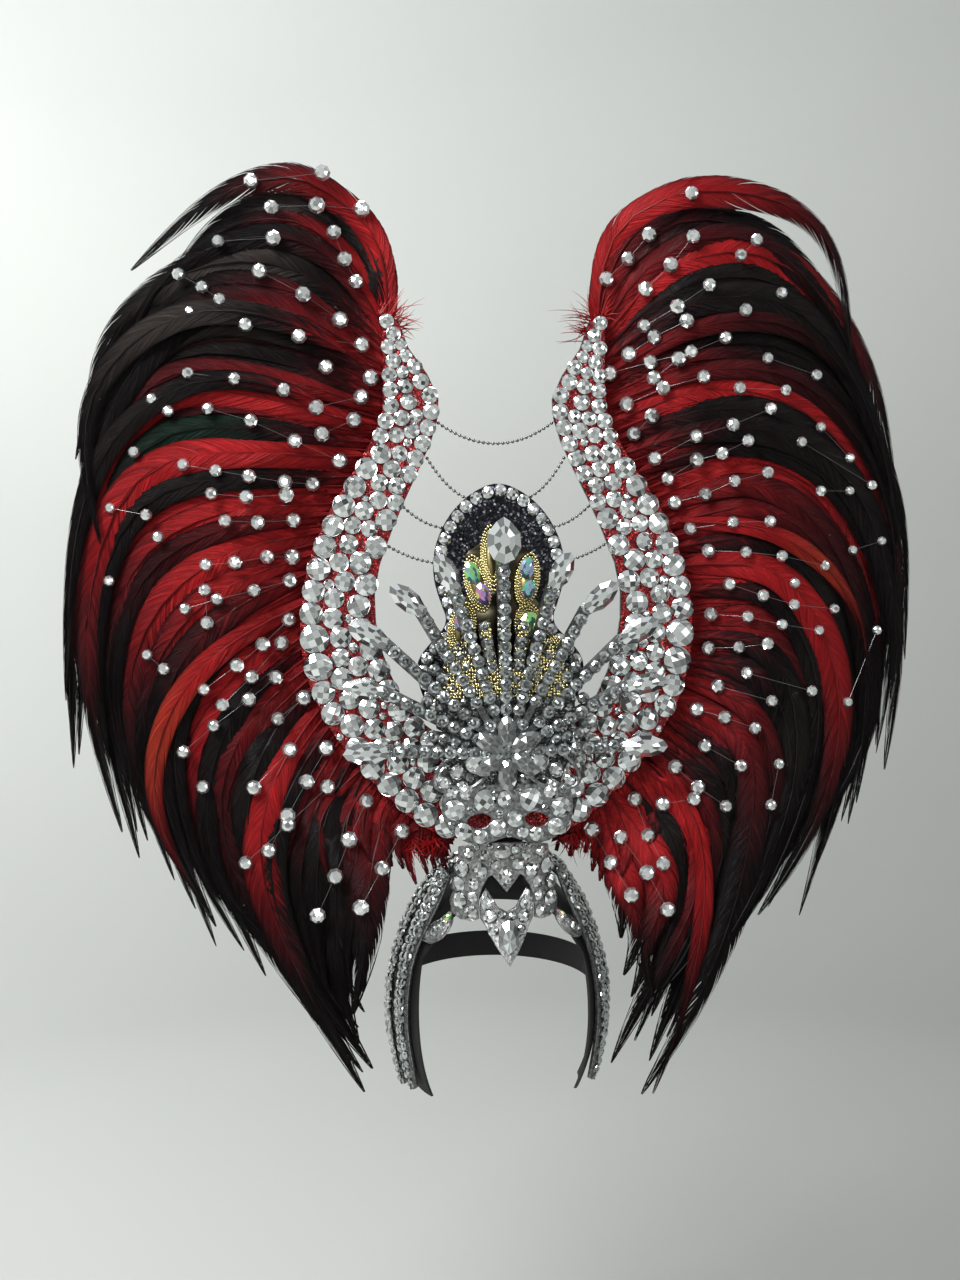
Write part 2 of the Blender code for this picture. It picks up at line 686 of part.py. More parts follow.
def make_end_stones():
    """The navettes and the teardrop at the ends of the spikes"""
    names = ["centre_teardrop", "first_navette", "second_navette", "third_navette",
             "fourth_navette", "fifth_navette"]
    for name, (x, z, lean, width, length) in zip(names, SPRAY_ENDS):
        if x == 0:
            fancy_stone(name, 0, z, 0, width, length, END_STONE_BACK, TEARDROP_HIGH, False)
            continue
        for side, prefix in ((-1, "left_"), (1, "right_")):
            fancy_stone(prefix + name, side * x, z, side * lean, width, length,
                        END_STONE_BACK, END_STONE_HIGH)


def make_flower():
    """Six petals round a stone over the hub"""
    shape = bmesh.new()
    add_round_stone(shape, HUB[0], END_STONE_BACK, HUB[1], *FLOWER_STONE)
    core = place("hub_flower", mesh_from(shape, "hub_flower"), STONE_SILVER)
    petals = []
    width, length, high = PETAL_SIZE
    for k in range(PETALS):
        angle = 360.0 / PETALS * k
        x = HUB[0] + PETAL_REACH * math.sin(math.radians(angle))
        z = HUB[1] + PETAL_REACH * math.cos(math.radians(angle))
        back = END_STONE_BACK - 0.2 - 0.02 * k
        petals.append(fancy_stone(f"petal_{k}", x, z, angle, width, length, back, high,
                                  True, CUTTERS))
    fuse(core, *petals)


def make_base_ornament():
    """The mask shaped plate under the hub with two large and two side stones"""
    eyes = [BASE_EYE, [(-x, z) for x, z in reversed(BASE_EYE)]]
    plate = flat_plate("base_ornament", [mirrored(BASE_HALF)] + eyes, BASE_FRONT, BASE_THICK,
                       STONE_SILVER)
    stones = [(side * x, z, size) for side in (1, -1) for x, z, size in BASE_STONES]
    fuse(plate, stone_field("base_stones", stones, BASE_FRONT))


def make_gold_ornament():
    """The gold plate on the medallion with its raised leaves"""
    front = MEDALLION_FRONT - GAP - GOLD_THICK
    left = [(-GOLD_LEFT_LOBE if x > 28 else -x, z) for x, z in reversed(GOLD_HALF) if x > 0]
    plate = flat_plate("gold_ornament", [GOLD_HALF + left], front, GOLD_THICK, GOLD_BEAD)
    leaves = []
    for k, (x, z, lean, width, length) in enumerate(GOLD_LEAVES):
        leaves.append(fancy_stone(f"gold_leaf_{k}", x, z, lean, width, length,
                                  front + 0.5 - 0.03 * k, LEAF_HIGH, True, CUTTERS))
    fuse(plate, *leaves)


def make_chain(name, start, end, sag):
    """A tube along the sag of one chain, its ends behind panel and medallion"""
    curve = bpy.data.curves.new(name, "CURVE")
    curve.dimensions = "3D"
    curve.bevel_depth = CHAIN_RADIUS * MM
    curve.bevel_resolution = 2
    curve.use_fill_caps = True
    spline = curve.splines.new("POLY")
    count = 6
    spline.points.add(count - 1)
    for k, point in enumerate(spline.points):
        share = k / (count - 1)
        x, y, z = np.array(start) * (1 - share) + np.array(end) * share
        z -= 4 * sag * share * (1 - share)
        point.co = (x * MM, y * MM, z * MM, 1.0)
    item = bpy.data.objects.new(name, curve)
    item.data.materials.append(CHAIN_STEEL)
    PARTS.objects.link(item)


def make_chains():
    """Seven chains: one between the panels and three from each panel to the medallion"""
    at_panel = PANEL_BACK + 2 * GAP + CHAIN_RADIUS
    at_medallion = PANEL_FRONT + CHAIN_RADIUS
    x, z, sag = TOP_CHAIN
    make_chain("top_chain", (-x, at_panel, z), (x, at_panel, z), sag)
    for side, prefix in ((-1, "left_"), (1, "right_")):
        for number, (x, z, inner_x, inner_z, sag) in enumerate(SIDE_CHAINS, 1):
            make_chain(f"{prefix}chain_{number}", (side * x, at_panel, z),
                       (side * inner_x, at_medallion, inner_z), sag)


def smooth_line(knots, shares):
    """A natural cubic spline through knots, spaced by their chords"""
    knots = np.array(knots, float)
    gaps = np.hypot(*np.diff(knots, axis=0).T)
    stations = np.concatenate([[0.0], np.cumsum(gaps)]) / gaps.sum()
    count = len(knots)
    system = np.eye(count)
    right = np.zeros_like(knots)
    for k in range(1, count - 1):
        before = stations[k] - stations[k - 1]
        after = stations[k + 1] - stations[k]
        system[k, k - 1:k + 2] = before, 2 * (before + after), after
        right[k] = 6 * ((knots[k + 1] - knots[k]) / after - (knots[k] - knots[k - 1]) / before)
    bend = np.linalg.solve(system, right)
    spot = np.clip(np.searchsorted(stations, shares, side="right") - 1, 0, count - 2)
    step = (stations[spot + 1] - stations[spot])[:, None]
    far = (np.asarray(shares) - stations[spot])[:, None]
    near = step - far
    return (bend[spot] * near ** 3 / (6 * step) + bend[spot + 1] * far ** 3 / (6 * step)
            + (knots[spot] / step - bend[spot] * step / 6) * near
            + (knots[spot + 1] / step - bend[spot + 1] * step / 6) * far)


def smooth_step(share):
    """Eases from 0 to 1"""
    share = np.clip(share, 0.0, 1.0)
    return share * share * (3 - 2 * share)


RIM = along(PANEL_OUTER, np.linspace(0.0, 1.0, 160))


def feather_depth(spot, layer):
    """Depth of a layer of feathers at a place, which depends on the place alone

    Layers lie close together at the panel's edge and part over 60 mm away from it.  They
    swell forward over the middle of a wing and fall back at its outer rim.
    """
    x, z = spot
    nearest = int(np.hypot(RIM[:, 0] - x, RIM[:, 1] - z).argmin())
    away = max(float((spot - RIM[nearest]) @ rim_outward(nearest)), 0.0)
    open_up = float(smooth_step((away - 5.0) / 60.0))
    spread = (ROOT_SPREAD + (1 - ROOT_SPREAD) * open_up) * (layer - 2) * LAYER_STEP
    swell = 16.0 * math.sin(math.pi * x / 300.0) - 12.0 * float(smooth_step(
        (x - 200.0) / 130.0))
    low = 8.0 * float(smooth_step((40.0 - z) / 120.0)) * float(smooth_step((190.0 - x) / 80.0))
    return ROOT_Y + spread - open_up * (swell + low)


def rim_outward(k):
    """Direction out of the panel at one place of its outer edge"""
    run = RIM[min(k + 1, len(RIM) - 1)] - RIM[max(k - 1, 0)]
    return np.array([-run[1], run[0]]) / np.hypot(*run)


def rim_point(height, inset):
    """A place on the panel's outer edge at a height, moved into the panel"""
    at = np.interp(-height, -RIM[:, 1], np.arange(len(RIM)))
    k = int(at)
    spot = RIM[k] + (RIM[min(k + 1, len(RIM) - 1)] - RIM[k]) * (at - k)
    return spot - rim_outward(k) * inset


def guide(table, share):
    """Root and bends of the feather at a share of the way through the guide rows"""
    rows = np.array(table, float)
    at = share * (len(rows) - 1)
    row = [np.interp(at, np.arange(len(rows)), column) for column in rows.T]
    root = rim_point(min(row[0], HIGHEST_ROOT), ROOT_INSET)
    return [root] + [np.array(row[k:k + 2]) for k in (1, 3, 5, 7)]


def feather_sections(table, share, layer, side):
    """Lens shaped sections of one feather from root to tip"""
    shares, widths = np.array(FEATHER_WIDTHS, float).T
    spots = smooth_line(guide(table, share), shares)
    runs = np.gradient(spots, axis=0)
    sections = []
    for spot, run, width in zip(spots, runs, widths):
        across = np.array([run[1], -run[0]]) / np.hypot(*run) * width / 2
        thick = FEATHER_THICK * min(1.0, width / 8) / 2
        ring = []
        for sideways, lift in ((-1, 0), (0, -thick), (1, 0), (0, thick)):
            at = spot + across * sideways
            ring.append((side * at[0], feather_depth(at, layer) + lift, at[1]))
        sections.append(ring)
    return sections


def backing_sections(top, bottom, side):
    """Sections of the strip behind the panel's edge that holds the roots of a bank"""
    sections = []
    for height in np.linspace(top, bottom, 7):
        outer = rim_point(height, 1.5)
        wide = min(BACKING_WIDE, 7.0 + (417.0 - height) * 0.3)
        inner = rim_point(height, 1.5 + wide)
        front = PANEL_BACK + GAP
        sections.append([(side * outer[0], front, outer[1]),
                         (side * outer[0], front + BACKING_DEEP, outer[1]),
                         (side * inner[0], front + BACKING_DEEP, inner[1]),
                         (side * inner[0], front, inner[1])])
    return sections


def make_feather_banks(side, prefix, table):
    """Five banks of feathers of one wing, each fused to its own backing strip"""
    banks = len(BANK_NAMES)
    total = banks * FEATHERS_A_BANK
    roots = np.array(table, float)[:, 0]
    heights = np.interp(np.arange(total) / (total - 1) * (len(roots) - 1),
                        np.arange(len(roots)), roots)
    limits = [roots[0] + BACKING_SPACE]
    for bank in range(1, banks):
        limits.append(float(heights[bank * FEATHERS_A_BANK - 1:][:2].mean()))
    limits.append(48.0)
    for bank, title in enumerate(BANK_NAMES):
        backing = loft(f"{prefix}_{title}_feathers",
                       backing_sections(limits[bank] - BACKING_SPACE,
                                        limits[bank + 1] + BACKING_SPACE, side),
                       FEATHER_RED)
        feathers = []
        for k in range(FEATHERS_A_BANK):
            index = bank * FEATHERS_A_BANK + k
            layer = LAYER_ORDER[index % len(LAYER_ORDER)]
            feathers.append(loft(f"{prefix}_feather_{index}",
                                 feather_sections(table, index / (total - 1), layer, side),
                                 FEATHER_BLACK, CUTTERS, creased=True))
        fuse(backing, *feathers, solver="MANIFOLD")


def build():
    """Makes every piece of the headdress"""
    make_lining()
    make_back_strap()
    make_bracket()
    make_brow()
    make_medallion()
    make_gold_ornament()
    make_spray()
    make_end_stones()
    make_flower()
    make_base_ornament()
    make_chains()
    for side, prefix, table in ((-1, "left", LEFT_FEATHERS), (1, "right", RIGHT_FEATHERS)):
        make_panel(side, prefix)
        make_arms(side, prefix)
        make_curl_leaf(side, prefix)
        make_feather_banks(side, prefix, table)


build()
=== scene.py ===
"""Looks of a carnival feather headdress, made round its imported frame.

Lengths are in millimetres until a mesh is made.  The wearer looks along -Y, +Z is up and
the origin is the top of the head.
"""
import math

import bpy
import numpy as np
from bpy.props import FloatProperty, FloatVectorProperty, IntProperty, PointerProperty
from mathutils import Matrix, Vector
from mathutils.geometry import tessellate_polygon


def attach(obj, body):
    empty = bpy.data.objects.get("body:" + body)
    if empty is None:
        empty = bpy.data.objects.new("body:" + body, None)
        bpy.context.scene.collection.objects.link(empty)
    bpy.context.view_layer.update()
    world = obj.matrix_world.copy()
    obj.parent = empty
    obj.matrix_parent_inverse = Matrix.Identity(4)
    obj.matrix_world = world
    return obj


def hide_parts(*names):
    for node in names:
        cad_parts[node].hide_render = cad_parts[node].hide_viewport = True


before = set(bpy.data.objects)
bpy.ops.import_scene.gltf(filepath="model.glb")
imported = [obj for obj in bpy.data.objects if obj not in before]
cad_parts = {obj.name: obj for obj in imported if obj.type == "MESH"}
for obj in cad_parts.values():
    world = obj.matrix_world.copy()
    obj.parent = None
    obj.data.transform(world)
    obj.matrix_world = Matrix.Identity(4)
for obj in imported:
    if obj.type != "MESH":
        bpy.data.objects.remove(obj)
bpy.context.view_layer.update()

bl_info = {
    "name": "Carnival Feather Headdress",
    "version": (1, 0, 0),
    "blender": (4, 5, 0),
    "location": "3D View > Sidebar > Headdress",
    "description": "Feathers, stones, beads and felt of a carnival headdress",
    "category": "Object",
}

MM = 0.001
SIDES = ((-1, "left"), (1, "right"))

# Lyre panel: its two edges from tip to base, as distance from the centre and height
PANEL_OUTER = [
    (85, 417), (84, 385), (84, 362), (85, 345), (91, 328), (103, 306), (115, 288), (127, 268),
    (138, 243), (145, 218), (148.5, 190), (147.5, 165), (143, 144), (135, 122), (123, 101),
    (104, 76), (87, 58), (71, 43), (54, 31), (39, 25), (0.2, 25),
]
PANEL_INNER = [
    (72, 412), (65, 392), (51, 372), (43, 354), (44, 339), (49, 322), (59, 300), (70, 277),
    (80, 254), (89, 230), (93, 208), (92.5, 188), (89, 168), (82, 148), (73, 129), (59, 112),
    (40, 97), (20, 88), (0.2, 85),
]
PANEL_BACK = -46.0

# Feathers: height of the root on the panel edge, then distance and height of crest,
# shoulder, fall and tip, one row a guide feather from the panel's tip to its base
LEFT_GUIDES = [
    (417, 94, 485, 150, 510, 218, 481, 266, 434),
    (408, 109, 475, 157, 490, 204, 466, 247, 417),
    (393, 122, 432, 202, 450, 283, 397, 308, 319),
    (378, 121, 400, 207, 419, 283, 353, 315, 233),
    (361, 145, 385, 238, 386, 299, 290, 319, 117),
    (336, 153, 346, 243, 353, 302, 240, 303, 96),
    (314, 167, 310, 251, 298, 300, 174, 286, 39),
    (287, 178, 282, 256, 256, 291, 148, 260, 25),
    (258, 188, 242, 251, 202, 273, 102, 234, -4),
    (228, 185, 203, 239, 149, 249, 56, 207, -33),
    (190, 181, 165, 224, 108, 221, 27, 175, -59),
    (156, 174, 129, 207, 63, 188, -16, 132, -104),
    (126, 159, 95, 183, 28, 159, -49, 103, -149),
    (100, 144, 61, 157, -8, 137, -83, 101, -137),
    (77, 122, 25, 128, -31, 121, -77, 109, -107),
    (55, 97, 9, 106, -32, 111, -62, 109, -89),
]
RIGHT_GUIDES = [
    (417, 102, 488, 174, 512, 254, 485, 290, 396),
    (408, 115, 473, 184, 485, 248, 449, 295, 364),
    (393, 126, 445, 199, 460, 283, 399, 313, 289),
    (378, 132, 416, 220, 425, 300, 333, 325, 230),
    (361, 148, 388, 238, 387, 318, 286, 330, 169),
    (336, 163, 359, 251, 337, 314, 230, 315, 125),
    (314, 179, 331, 255, 308, 311, 189, 298, 65),
    (287, 189, 305, 258, 278, 300, 160, 276, 31),
    (258, 197, 270, 256, 231, 283, 121, 241, -13),
    (228, 204, 222, 250, 168, 258, 81, 200, -52),
    (190, 202, 186, 237, 122, 228, 50, 158, -79),
    (156, 195, 141, 219, 71, 197, 6, 131, -96),
    (126, 183, 94, 191, 30, 167, -36, 107, -166),
    (100, 164, 60, 167, 7, 146, -50, 105, -131),
    (77, 142, 33, 142, -15, 119, -67, 79, -136),
    (55, 108, 17, 112, -22, 108, -60, 98, -84),
]
BANKS = ["crest", "shoulder", "side", "hanging", "lower"]
# Layers of feathers: depth at the roots, their spacing there as share of the one further
# out, where they part and over what distance, and how far a wing swells forward and falls back
ROOT_Y = -38.0
PART_FROM = 5.0
PART_OVER = 60.0
WING_WIDE = 300.0
SWELL = 16.0
FALL = 12.0
LOW_SWELL = 8.0
ROOT_SPREAD = 0.35
LAYER_STEP = 7.0
ROOT_INSET = 5.0
HIGHEST_ROOT = 411.0
TIP_SPREAD = 0.08
BEND_SPREAD = 2.8 * np.array([[0.4], [0.8], [1.0], [2.0]])
BACKING_WIDE = 15.0
BACKING_DEEP = 14.0
BACKING_SPACE = 3.5

# Red hackles at the tip and under the base of each panel: distance from the centre, height,
# direction clockwise from up, length, how many, and layer
TIP_FLUFF = [(80, 414, -50, 26, 34, 0.0), (74, 408, -75, 20, 24, 1.0), (84, 418, 25, 20, 20, 0.5)]
BASE_FLUFF = [(64, 25, 172, 20, 20, -0.3), (55, 23, 165, 18, 24, -0.4), (47, 22, 150, 14, 20, -0.4)]
HAIR_POINTS = 7
HAIR_RADIUS = 0.42
HAIR_TIP = 0.05
# Feathers that lie in front of a wing: side, bank, kind, width and layer, then distance
# and height of the root, crest, shoulder, fall and tip
FRONT_FEATHERS = [
    (1, 4, "flame", 0.75, 0.4, [(80, 44), (85, 11), (94, -21), (96, -54), (86, -78)]),
    (1, 4, "flame", 0.75, 0.9, [(87, 48), (92, 10), (104, -29), (103, -68), (92, -95)]),
    (1, 4, "flame", 0.75, 1.4, [(75, 39), (79, 19), (85, -5), (88, -29), (86, -52)]),
    (1, 4, "flame", 0.75, 1.9, [(94, 54), (102, 9), (115, -34), (114, -76), (99, -110)]),
    (1, 4, "flame", 0.5, -0.2, [(125, 77), (145, 24), (147, -30), (132, -95), (105, -165)]),
    (1, 2, "ember", 0.5, -0.4, [(139, 261), (188, 255), (238, 234), (274, 198), (289, 136)]),
    (-1, 1, "sheen", 0.7, -0.8, [(112, 387), (160, 406), (233, 408), (292, 360), (291, 247)]),
    (-1, 1, "night", 0.6, -0.5, [(130, 348), (212, 363), (279, 324), (312, 237), (319, 134)]),
    (-1, 2, "ember", 0.6, -0.5, [(132, 208), (183, 183), (237, 133), (255, 70), (217, -19)]),
]
# Hackles: lowest and highest root, how many, the length of the one nearest the middle, and
# their layers and widths
HACKLE_HEIGHTS = (27.0, 80.0)
HACKLES = 26
HACKLE_LENGTH = 18.0
HACKLE_LAYERS = (-0.3, 1.6)
HACKLE_WIDTHS = (0.32, 0.55)
# Short feathers along the panel's edge: space between them, lengths, layers and width
DOWN_PITCH = 4.6
DOWN_LENGTHS = (34, 60)
DOWN_LAYERS = (1.2, 3.2)
DOWN_WIDE = 0.42

# Vane half width along a feather, and how far a barb lock runs along the shaft
VANE_WIDTHS = [
    (0.0, 6.0), (0.05, 8.0), (0.14, 11.0), (0.3, 14.0), (0.46, 15.5), (0.6, 13.6),
    (0.72, 10.2), (0.83, 6.8), (0.92, 3.9), (0.97, 2.0), (1.0, 0.4),
]
LOCK_RUNS = [(0.0, 20.0), (0.3, 34.0), (0.6, 44.0), (0.85, 50.0), (1.0, 30.0)]
LONG_FEATHER = 180.0
# A lock's points, the power with which it moves out to the edge, its share of the space
# between two locks, and its shortest run; how often a clump starts, and the most clumps
LOCK_POINTS = 6
LOCK_CURVE = 1.9
LOCK_SHARE = 0.95
SHORTEST_RUN = 0.012
CLUMP_CHANCE = 1.0 / 8.0
MOST_CLUMPS = 300
# Relief of a vane: rise of its edges, tilt of a lock, and height and waves of its ripple
VANE_CUP = 2.6
LOCK_TILT = 0.34
RIPPLE = 0.9
RIPPLE_WAVES = 14.0
# How much further along its dye the edge of a vane is than its shaft, and how dark painted shade
# makes its edge, for the shadow between overlapping feathers
EDGE_SHIFT = 0.45
EDGE_PAINTED_SHADE = 0.6
# Shaft: points along it, radius at the root and at the tip, and its colour beside the vane's
SHAFT_POINTS = 16
SHAFT_RADIUS = 1.1
SHAFT_TIP = 0.12
SHAFT_SHADE = 0.55

# Planes, front to back
PANEL_FRONT = -50.0
MEDALLION_FRONT = -53.0
MEDALLION_BACK = -50.3
GOLD_FRONT = -54.9
GOLD_BACK = -53.3
SPRAY_FRONT = -76.0
SPRAY_BACK = -72.0
SPIKE_RISE = 4.0
END_STONE_BACK = -80.3
BASE_FRONT = -79.3
BASE_BACK = -76.3
HUB = (0.0, 90.0)
POST_RADIUS = 13.0
POST_BELOW_HUB = 5.0

# Panel stones: share of the way down, and the diameters in the outer, middle and inner row
PANEL_STONES = [
    (0.00, 9.0, 9.0, 8.0), (0.12, 10.0, 10.0, 10.5), (0.24, 14.0, 12.0, 11.5),
    (0.40, 15.5, 13.0, 14.5), (0.52, 19.0, 15.0, 15.0), (0.75, 18.5, 15.5, 14.5),
    (1.00, 17.5, 15.0, 14.0),
]
# Rows of panel stones: where each starts and all end as share of the way down, the step in
# the search for room, the places of two middle rows as share of the panel's core, and the
# least share of its size that a stone may keep
ROW_STARTS = {"outer": 0.012, "inner": 0.03, "middle": 0.03, "second": 0.03}
ROW_END = 0.985
ROW_STEP = 0.006
FIRST_MIDDLE = 0.27
SECOND_MIDDLE = 0.76
LEAST_GROWTH = 0.82
STONE_EDGE = 1.0
STONE_SPACE = 0.7
PANEL_GROWTH = 1.16
STONE_OVERHANG = 1.2
PANEL_FILLERS = (11.0, 9.0, 7.5, 6.0, 5.0)
FAR = 999.0

# Medallion: half width at each height, and the stones of its border
MEDALLION_HALF = [
    (0, 292), (21, 283), (38, 266), (48.5, 243.5), (50, 221), (45, 203), (38.5, 186), (52, 172),
    (62, 160), (63.5, 146), (55, 121), (38, 100), (20, 84), (16, 62),
]
BORDER_STONE = 9.3
BORDER_PITCH = 9.6
LOWEST_BORDER = 70

# Gold ornament: right half of its plate, how far out its lower left lobe stands, and its
# leaves as distance from the centre, height, lean, width and length
GOLD_HALF = [
    (0, 262), (9, 258), (13, 246), (17, 243), (26, 238), (27, 224), (22, 208), (27, 204),
    (31, 196), (29, 180), (22, 166), (16, 160), (0, 158),
]
GOLD_LEFT_LOBE = 36
GOLD_LEAVES = [
    (-5.5, 234, -3, 17, 50), (-17, 215, -12, 19, 44), (20.5, 217, 10, 18, 42),
    (22, 182, -8, 22, 38), (-29, 182, 14, 20, 40), (36, 164, 40, 14, 26), (-36, 164, -40, 14, 24),
]
# Stones with a rainbow coat: place, lean, width, length and height
GOLD_STONES = [
    (-21.0, 223, -20, 10, 18, 3.6), (-13.0, 207, -14, 10, 17, 3.6), (20.5, 226, 12, 10, 17, 3.6),
    (21.5, 210, 16, 9, 15, 3.4), (22, 184, 6, 14, 19, 4.2), (-30, 186, 12, 9, 14, 3.2),
]
AMBER_SPOTS = [(-23, 159), (19, 157)]
AMBER_SIZE = (8.5, 8.5, 2.6)
# Gilt beads of a leaf: its rows as share of the leaf, height and growth of the beads
GOLD_BEAD_SIZE = 2.0
GOLD_BEAD_ROWS = [(0.97, 0.4, 1.25), (0.84, 1.0, 1.0), (0.71, 1.3, 1.0), (0.58, 1.2, 1.0)]

# Spray: end stones as distance from the centre, height, lean from upright, width and length
SPRAY_ENDS = [
    (0, 245, 0, 24, 33), (42, 222, 28, 15, 30), (71, 203, 50, 15, 31),
    (99, 178, 62, 15, 32), (103, 139, 82, 14, 31), (102, 93, 92, 15, 33),
]
SPRAY_FAN = [
    (0, 192), (22, 184), (38, 168), (49, 148), (52, 124), (50, 100), (44, 78), (36, 60), (0, 50),
]
# Rows between the spikes: angle from upright and reach from the hub
SHORT_ROWS = [(8.8, 86), (25, 88), (40, 85), (56, 74), (76, 60)]
ROW_STONE = 9.1
# Leaf frames beside the hub: distance from the centre, height, lean, width and length
HUB_LEAF = (32, 78, 116, 27, 46)
HUB_ROUNDS = [(22.5, 84, 16.5), (36.5, 77, 11.0), (46, 69, 10.0), (33, 66.5, 8.5)]
SPIKE_WIDE = 9.5
# Gilt beads fill the fan between its rows above this height
GOLD_LOWEST = 132.0
SPIKE_START = 14.0
SPIKE_STONE = 9.3
SPIKE_TINT = (0.3, 0.31, 0.31)
PALE_TINT = (0.7, 0.72, 0.72)
HUB_WIDE = 20.0
FAN_FILLERS = (12.0, 9.5, 7.5, 6.0)
FAN_BEAD_PITCH = 2.3
END_NAMES = ["first", "second", "third", "fourth", "fifth"]

# Flower over the hub
PETALS = 6
PETAL_REACH = 15.5
PETAL_SIZE = (14.4, 24.0, 5.0)

# Mask shaped base ornament: right half of the outline, one cut-out, and its large stones
BASE_HALF = [
    (0, 68), (30, 67), (45, 68), (49, 54), (47, 40), (38, 30), (27, 24.5), (16, 24.5), (6, 28),
    (0, 29.3),
]
BASE_EYE = [(11, 42), (17, 36), (26, 36), (31, 41), (26, 46), (16, 47)]
BASE_STONES = [(17, 56, 17), (39, 50, 15)]
BASE_FILLERS = (12.5, 10.5, 8.5, 7.0, 5.6)

# Brow: outer and inner edges of the right half of the bridge, and of the pendant under it
BROW_THICK = 3.0
BROW_CURVE = 95.0
BRIDGE_OUTER = [
    (0, 23), (20, 22), (34, 19), (34.5, 4), (35.5, -6), (38, -14), (41, -22), (40, -30),
    (34, -34.5),
]
BRIDGE_INNER = [
    (0, -14), (10.5, -1), (13.5, -3), (17.5, -10), (20, -18), (20.8, -26), (20.6, -33.5),
    (26, -35.5),
]
PENDANT_UPPER = [(0, -28.5), (6.5, -25), (10.5, -18), (15.2, -11)]
PENDANT_LOWER = [
    (0, -66), (8, -55), (13, -46), (16, -39), (19.9, -33), (20.2, -26), (18.4, -18.5),
    (15.4, -11.4),
]
# Large round stones of the bridge and the pendant: place and width
BROW_STONES = [
    (32, 3, 12.5), (35, -9, 12), (34, -21, 12.5), (26, -29, 10), (27, 14, 9), (16, 13, 9),
    (24, -8, 9), (25, -18, 8.5),
]
PENDANT_STONES = [(12.5, -32, 10.5)]
# Drops of the bridge and the pendant: place, width, length and height; and the stone on each
# horn of the pendant, with its lean after its place
BRIDGE_DROP = (0, -2, 12, 16, 4.2)
PENDANT_DROP = (0, -48, 16, 30, 6.5)
HORN_STONE = (15.6, -20.0, 4, 7.6, 16, 3.4)
BROW_FILLERS = (12.0, 10.0, 8.4, 7.0, 5.6, 4.4)
# Round stones wider than this are chequered, and the others have plain rings of facets
CHEQUERED_FROM = 8.0

# Head form: half width, half depth and height of the crown above its widest level
HEAD_WIDE = 79.0
HEAD_DEEP = 97.0
HEAD_HIGH = 110.0
HEAD_MID_Y = 20.0
HEAD_BOXY = 0.4

# Arms of the cage: distance from the centre, depth, height and width of each section
OUTER_ARM = [
    (17, -41, 12, 11), (33, -32, 6, 15), (50, -20, -10, 17), (64.5, -10, -33, 18),
    (75, -6, -60, 18), (82.5, -4, -90, 18), (83.5, -3, -120, 17), (79.5, -3, -148, 15),
    (75, -3, -170, 8),
]
INNER_ARM = [
    (43.5, -42.5, 0, 13), (49.5, -38.5, -15, 16), (60, -33, -38, 16), (70, -28, -62, 16),
    (75.5, -26, -90, 15), (76.5, -25, -120, 14), (73, -24, -148, 13), (69, -23, -168, 7),
]
ARM_THICK = 6.0
ARM_STONE_PITCH = 7.0
# Right half of a band's section, back first, as shares of its width and thickness
ARM_PROFILE = [(0.42, -0.5), (0.5, -0.15), (0.4, 0.2), (0.2, 0.4)]
CURL_PROFILE = [(0.42, -0.5), (0.5, -0.1), (0.26, 0.4)]
# Twisted cords on the arms: length of half a turn, and distance of a strand from the middle
CORD_TURN = 2.3
CORD_SPREAD = 0.6
CURL_LIFT = 9.0
CURL_THICK = 5.0
# Stones of a curl leaf: station along it, width and height; and its navette with its lean
CURL_STONES = [(5, 6.5, 2.2), (9, 8.5, 2.6), (13, 7.5, 2.4), (17, 5.0, 1.9)]
CURL_NAVETTE = (19, -40, 5.4, 11.0, 2.6)
CURL_LEAF = [
    (60, -49.5, 8), (55, -47.5, 15), (50, -43.8, 17), (45.5, -39.8, 13), (42, -35.0, 8),
    (40, -31.5, 1.2),
]

# Cage lining: angle from the front, and height of the cap's lower edge there
LINING_EDGE = [
    (0, -14), (10, -15), (20, -20), (30, -28), (39, -38), (48, -54), (55, -68), (62, -68),
    (69, -68), (76, -66), (83, -62), (95, -56), (110, -52), (127, -52), (145, -52), (163, -52),
    (180, -52),
]
LINING_ARM = (55, 83, -174.0)
LINING_THICK = 2.0
STRAP_LEVELS = (-80.0, -102.0)
STRAP_START = 77.0
STRAP_OFFSETS = (-1.1, -2.6)

# Chains: distance from the centre and height at the panel and at the medallion, and sag
SIDE_CHAINS = [(52, 310, 22, 279, 5), (73, 276, 39, 257, 4), (88, 248, 46, 231, 3)]
TOP_CHAIN = (49, 341, 20)
CHAIN_BALL = 2.8
CHAIN_PITCH = 3.7

# The photograph's size and focal length in pixels, and the camera's turns, the spot that it
# looks at, its distance from there and its step aside
PHOTO_WIDE = 960
PHOTO_HIGH = 1280
PHOTO_FOCAL = 1333.3
SENSOR = 36.0
CAMERA_YAW = 6.5
CAMERA_ROLL = 1.0
CAMERA_AIM = (0, -50, 173)
CAMERA_FAR = 1000
CAMERA_ASIDE = 15

# Studio: height, flat radius and bend of the floor and heights of the wall above it, colour
# and strength of the sky, then each lamp's name, place, width in metres, watts and the spot
# that it shines at
FLOOR_HEIGHT = -560
FLOOR_FLAT = 1700
FLOOR_BEND = 1100
WALL_HEIGHTS = (2200, 3400)
SKY_COLOUR = (0.93, 0.97, 1.0, 1.0)
SKY_STRENGTH = 0.47
LAMPS = [
    ("key", (-1100, -1000, 1500), 0.7, 54, (0, 0, 170)),
    ("fill", (1300, -1100, 500), 1.0, 5, (0, 0, 170)),
    ("top", (-300, 400, 2200), 1.2, 24, (0, 0, 170)),
    ("front", (-200, -1500, 500), 0.3, 4, (0, 0, 170)),
    ("wall", (-900, 300, 1500), 0.8, 30, (-1200, 2600, 700)),
]

# Stones on threads: pixels from the middle of the photograph, and their diameters there
THREAD_STONES = [(90, 180, 300, 400), (12.8, 12.0, 9.4, 7.8)]
THREAD_RADIUS = 0.1
THREAD_TINT = (0.16, 0.15, 0.15)
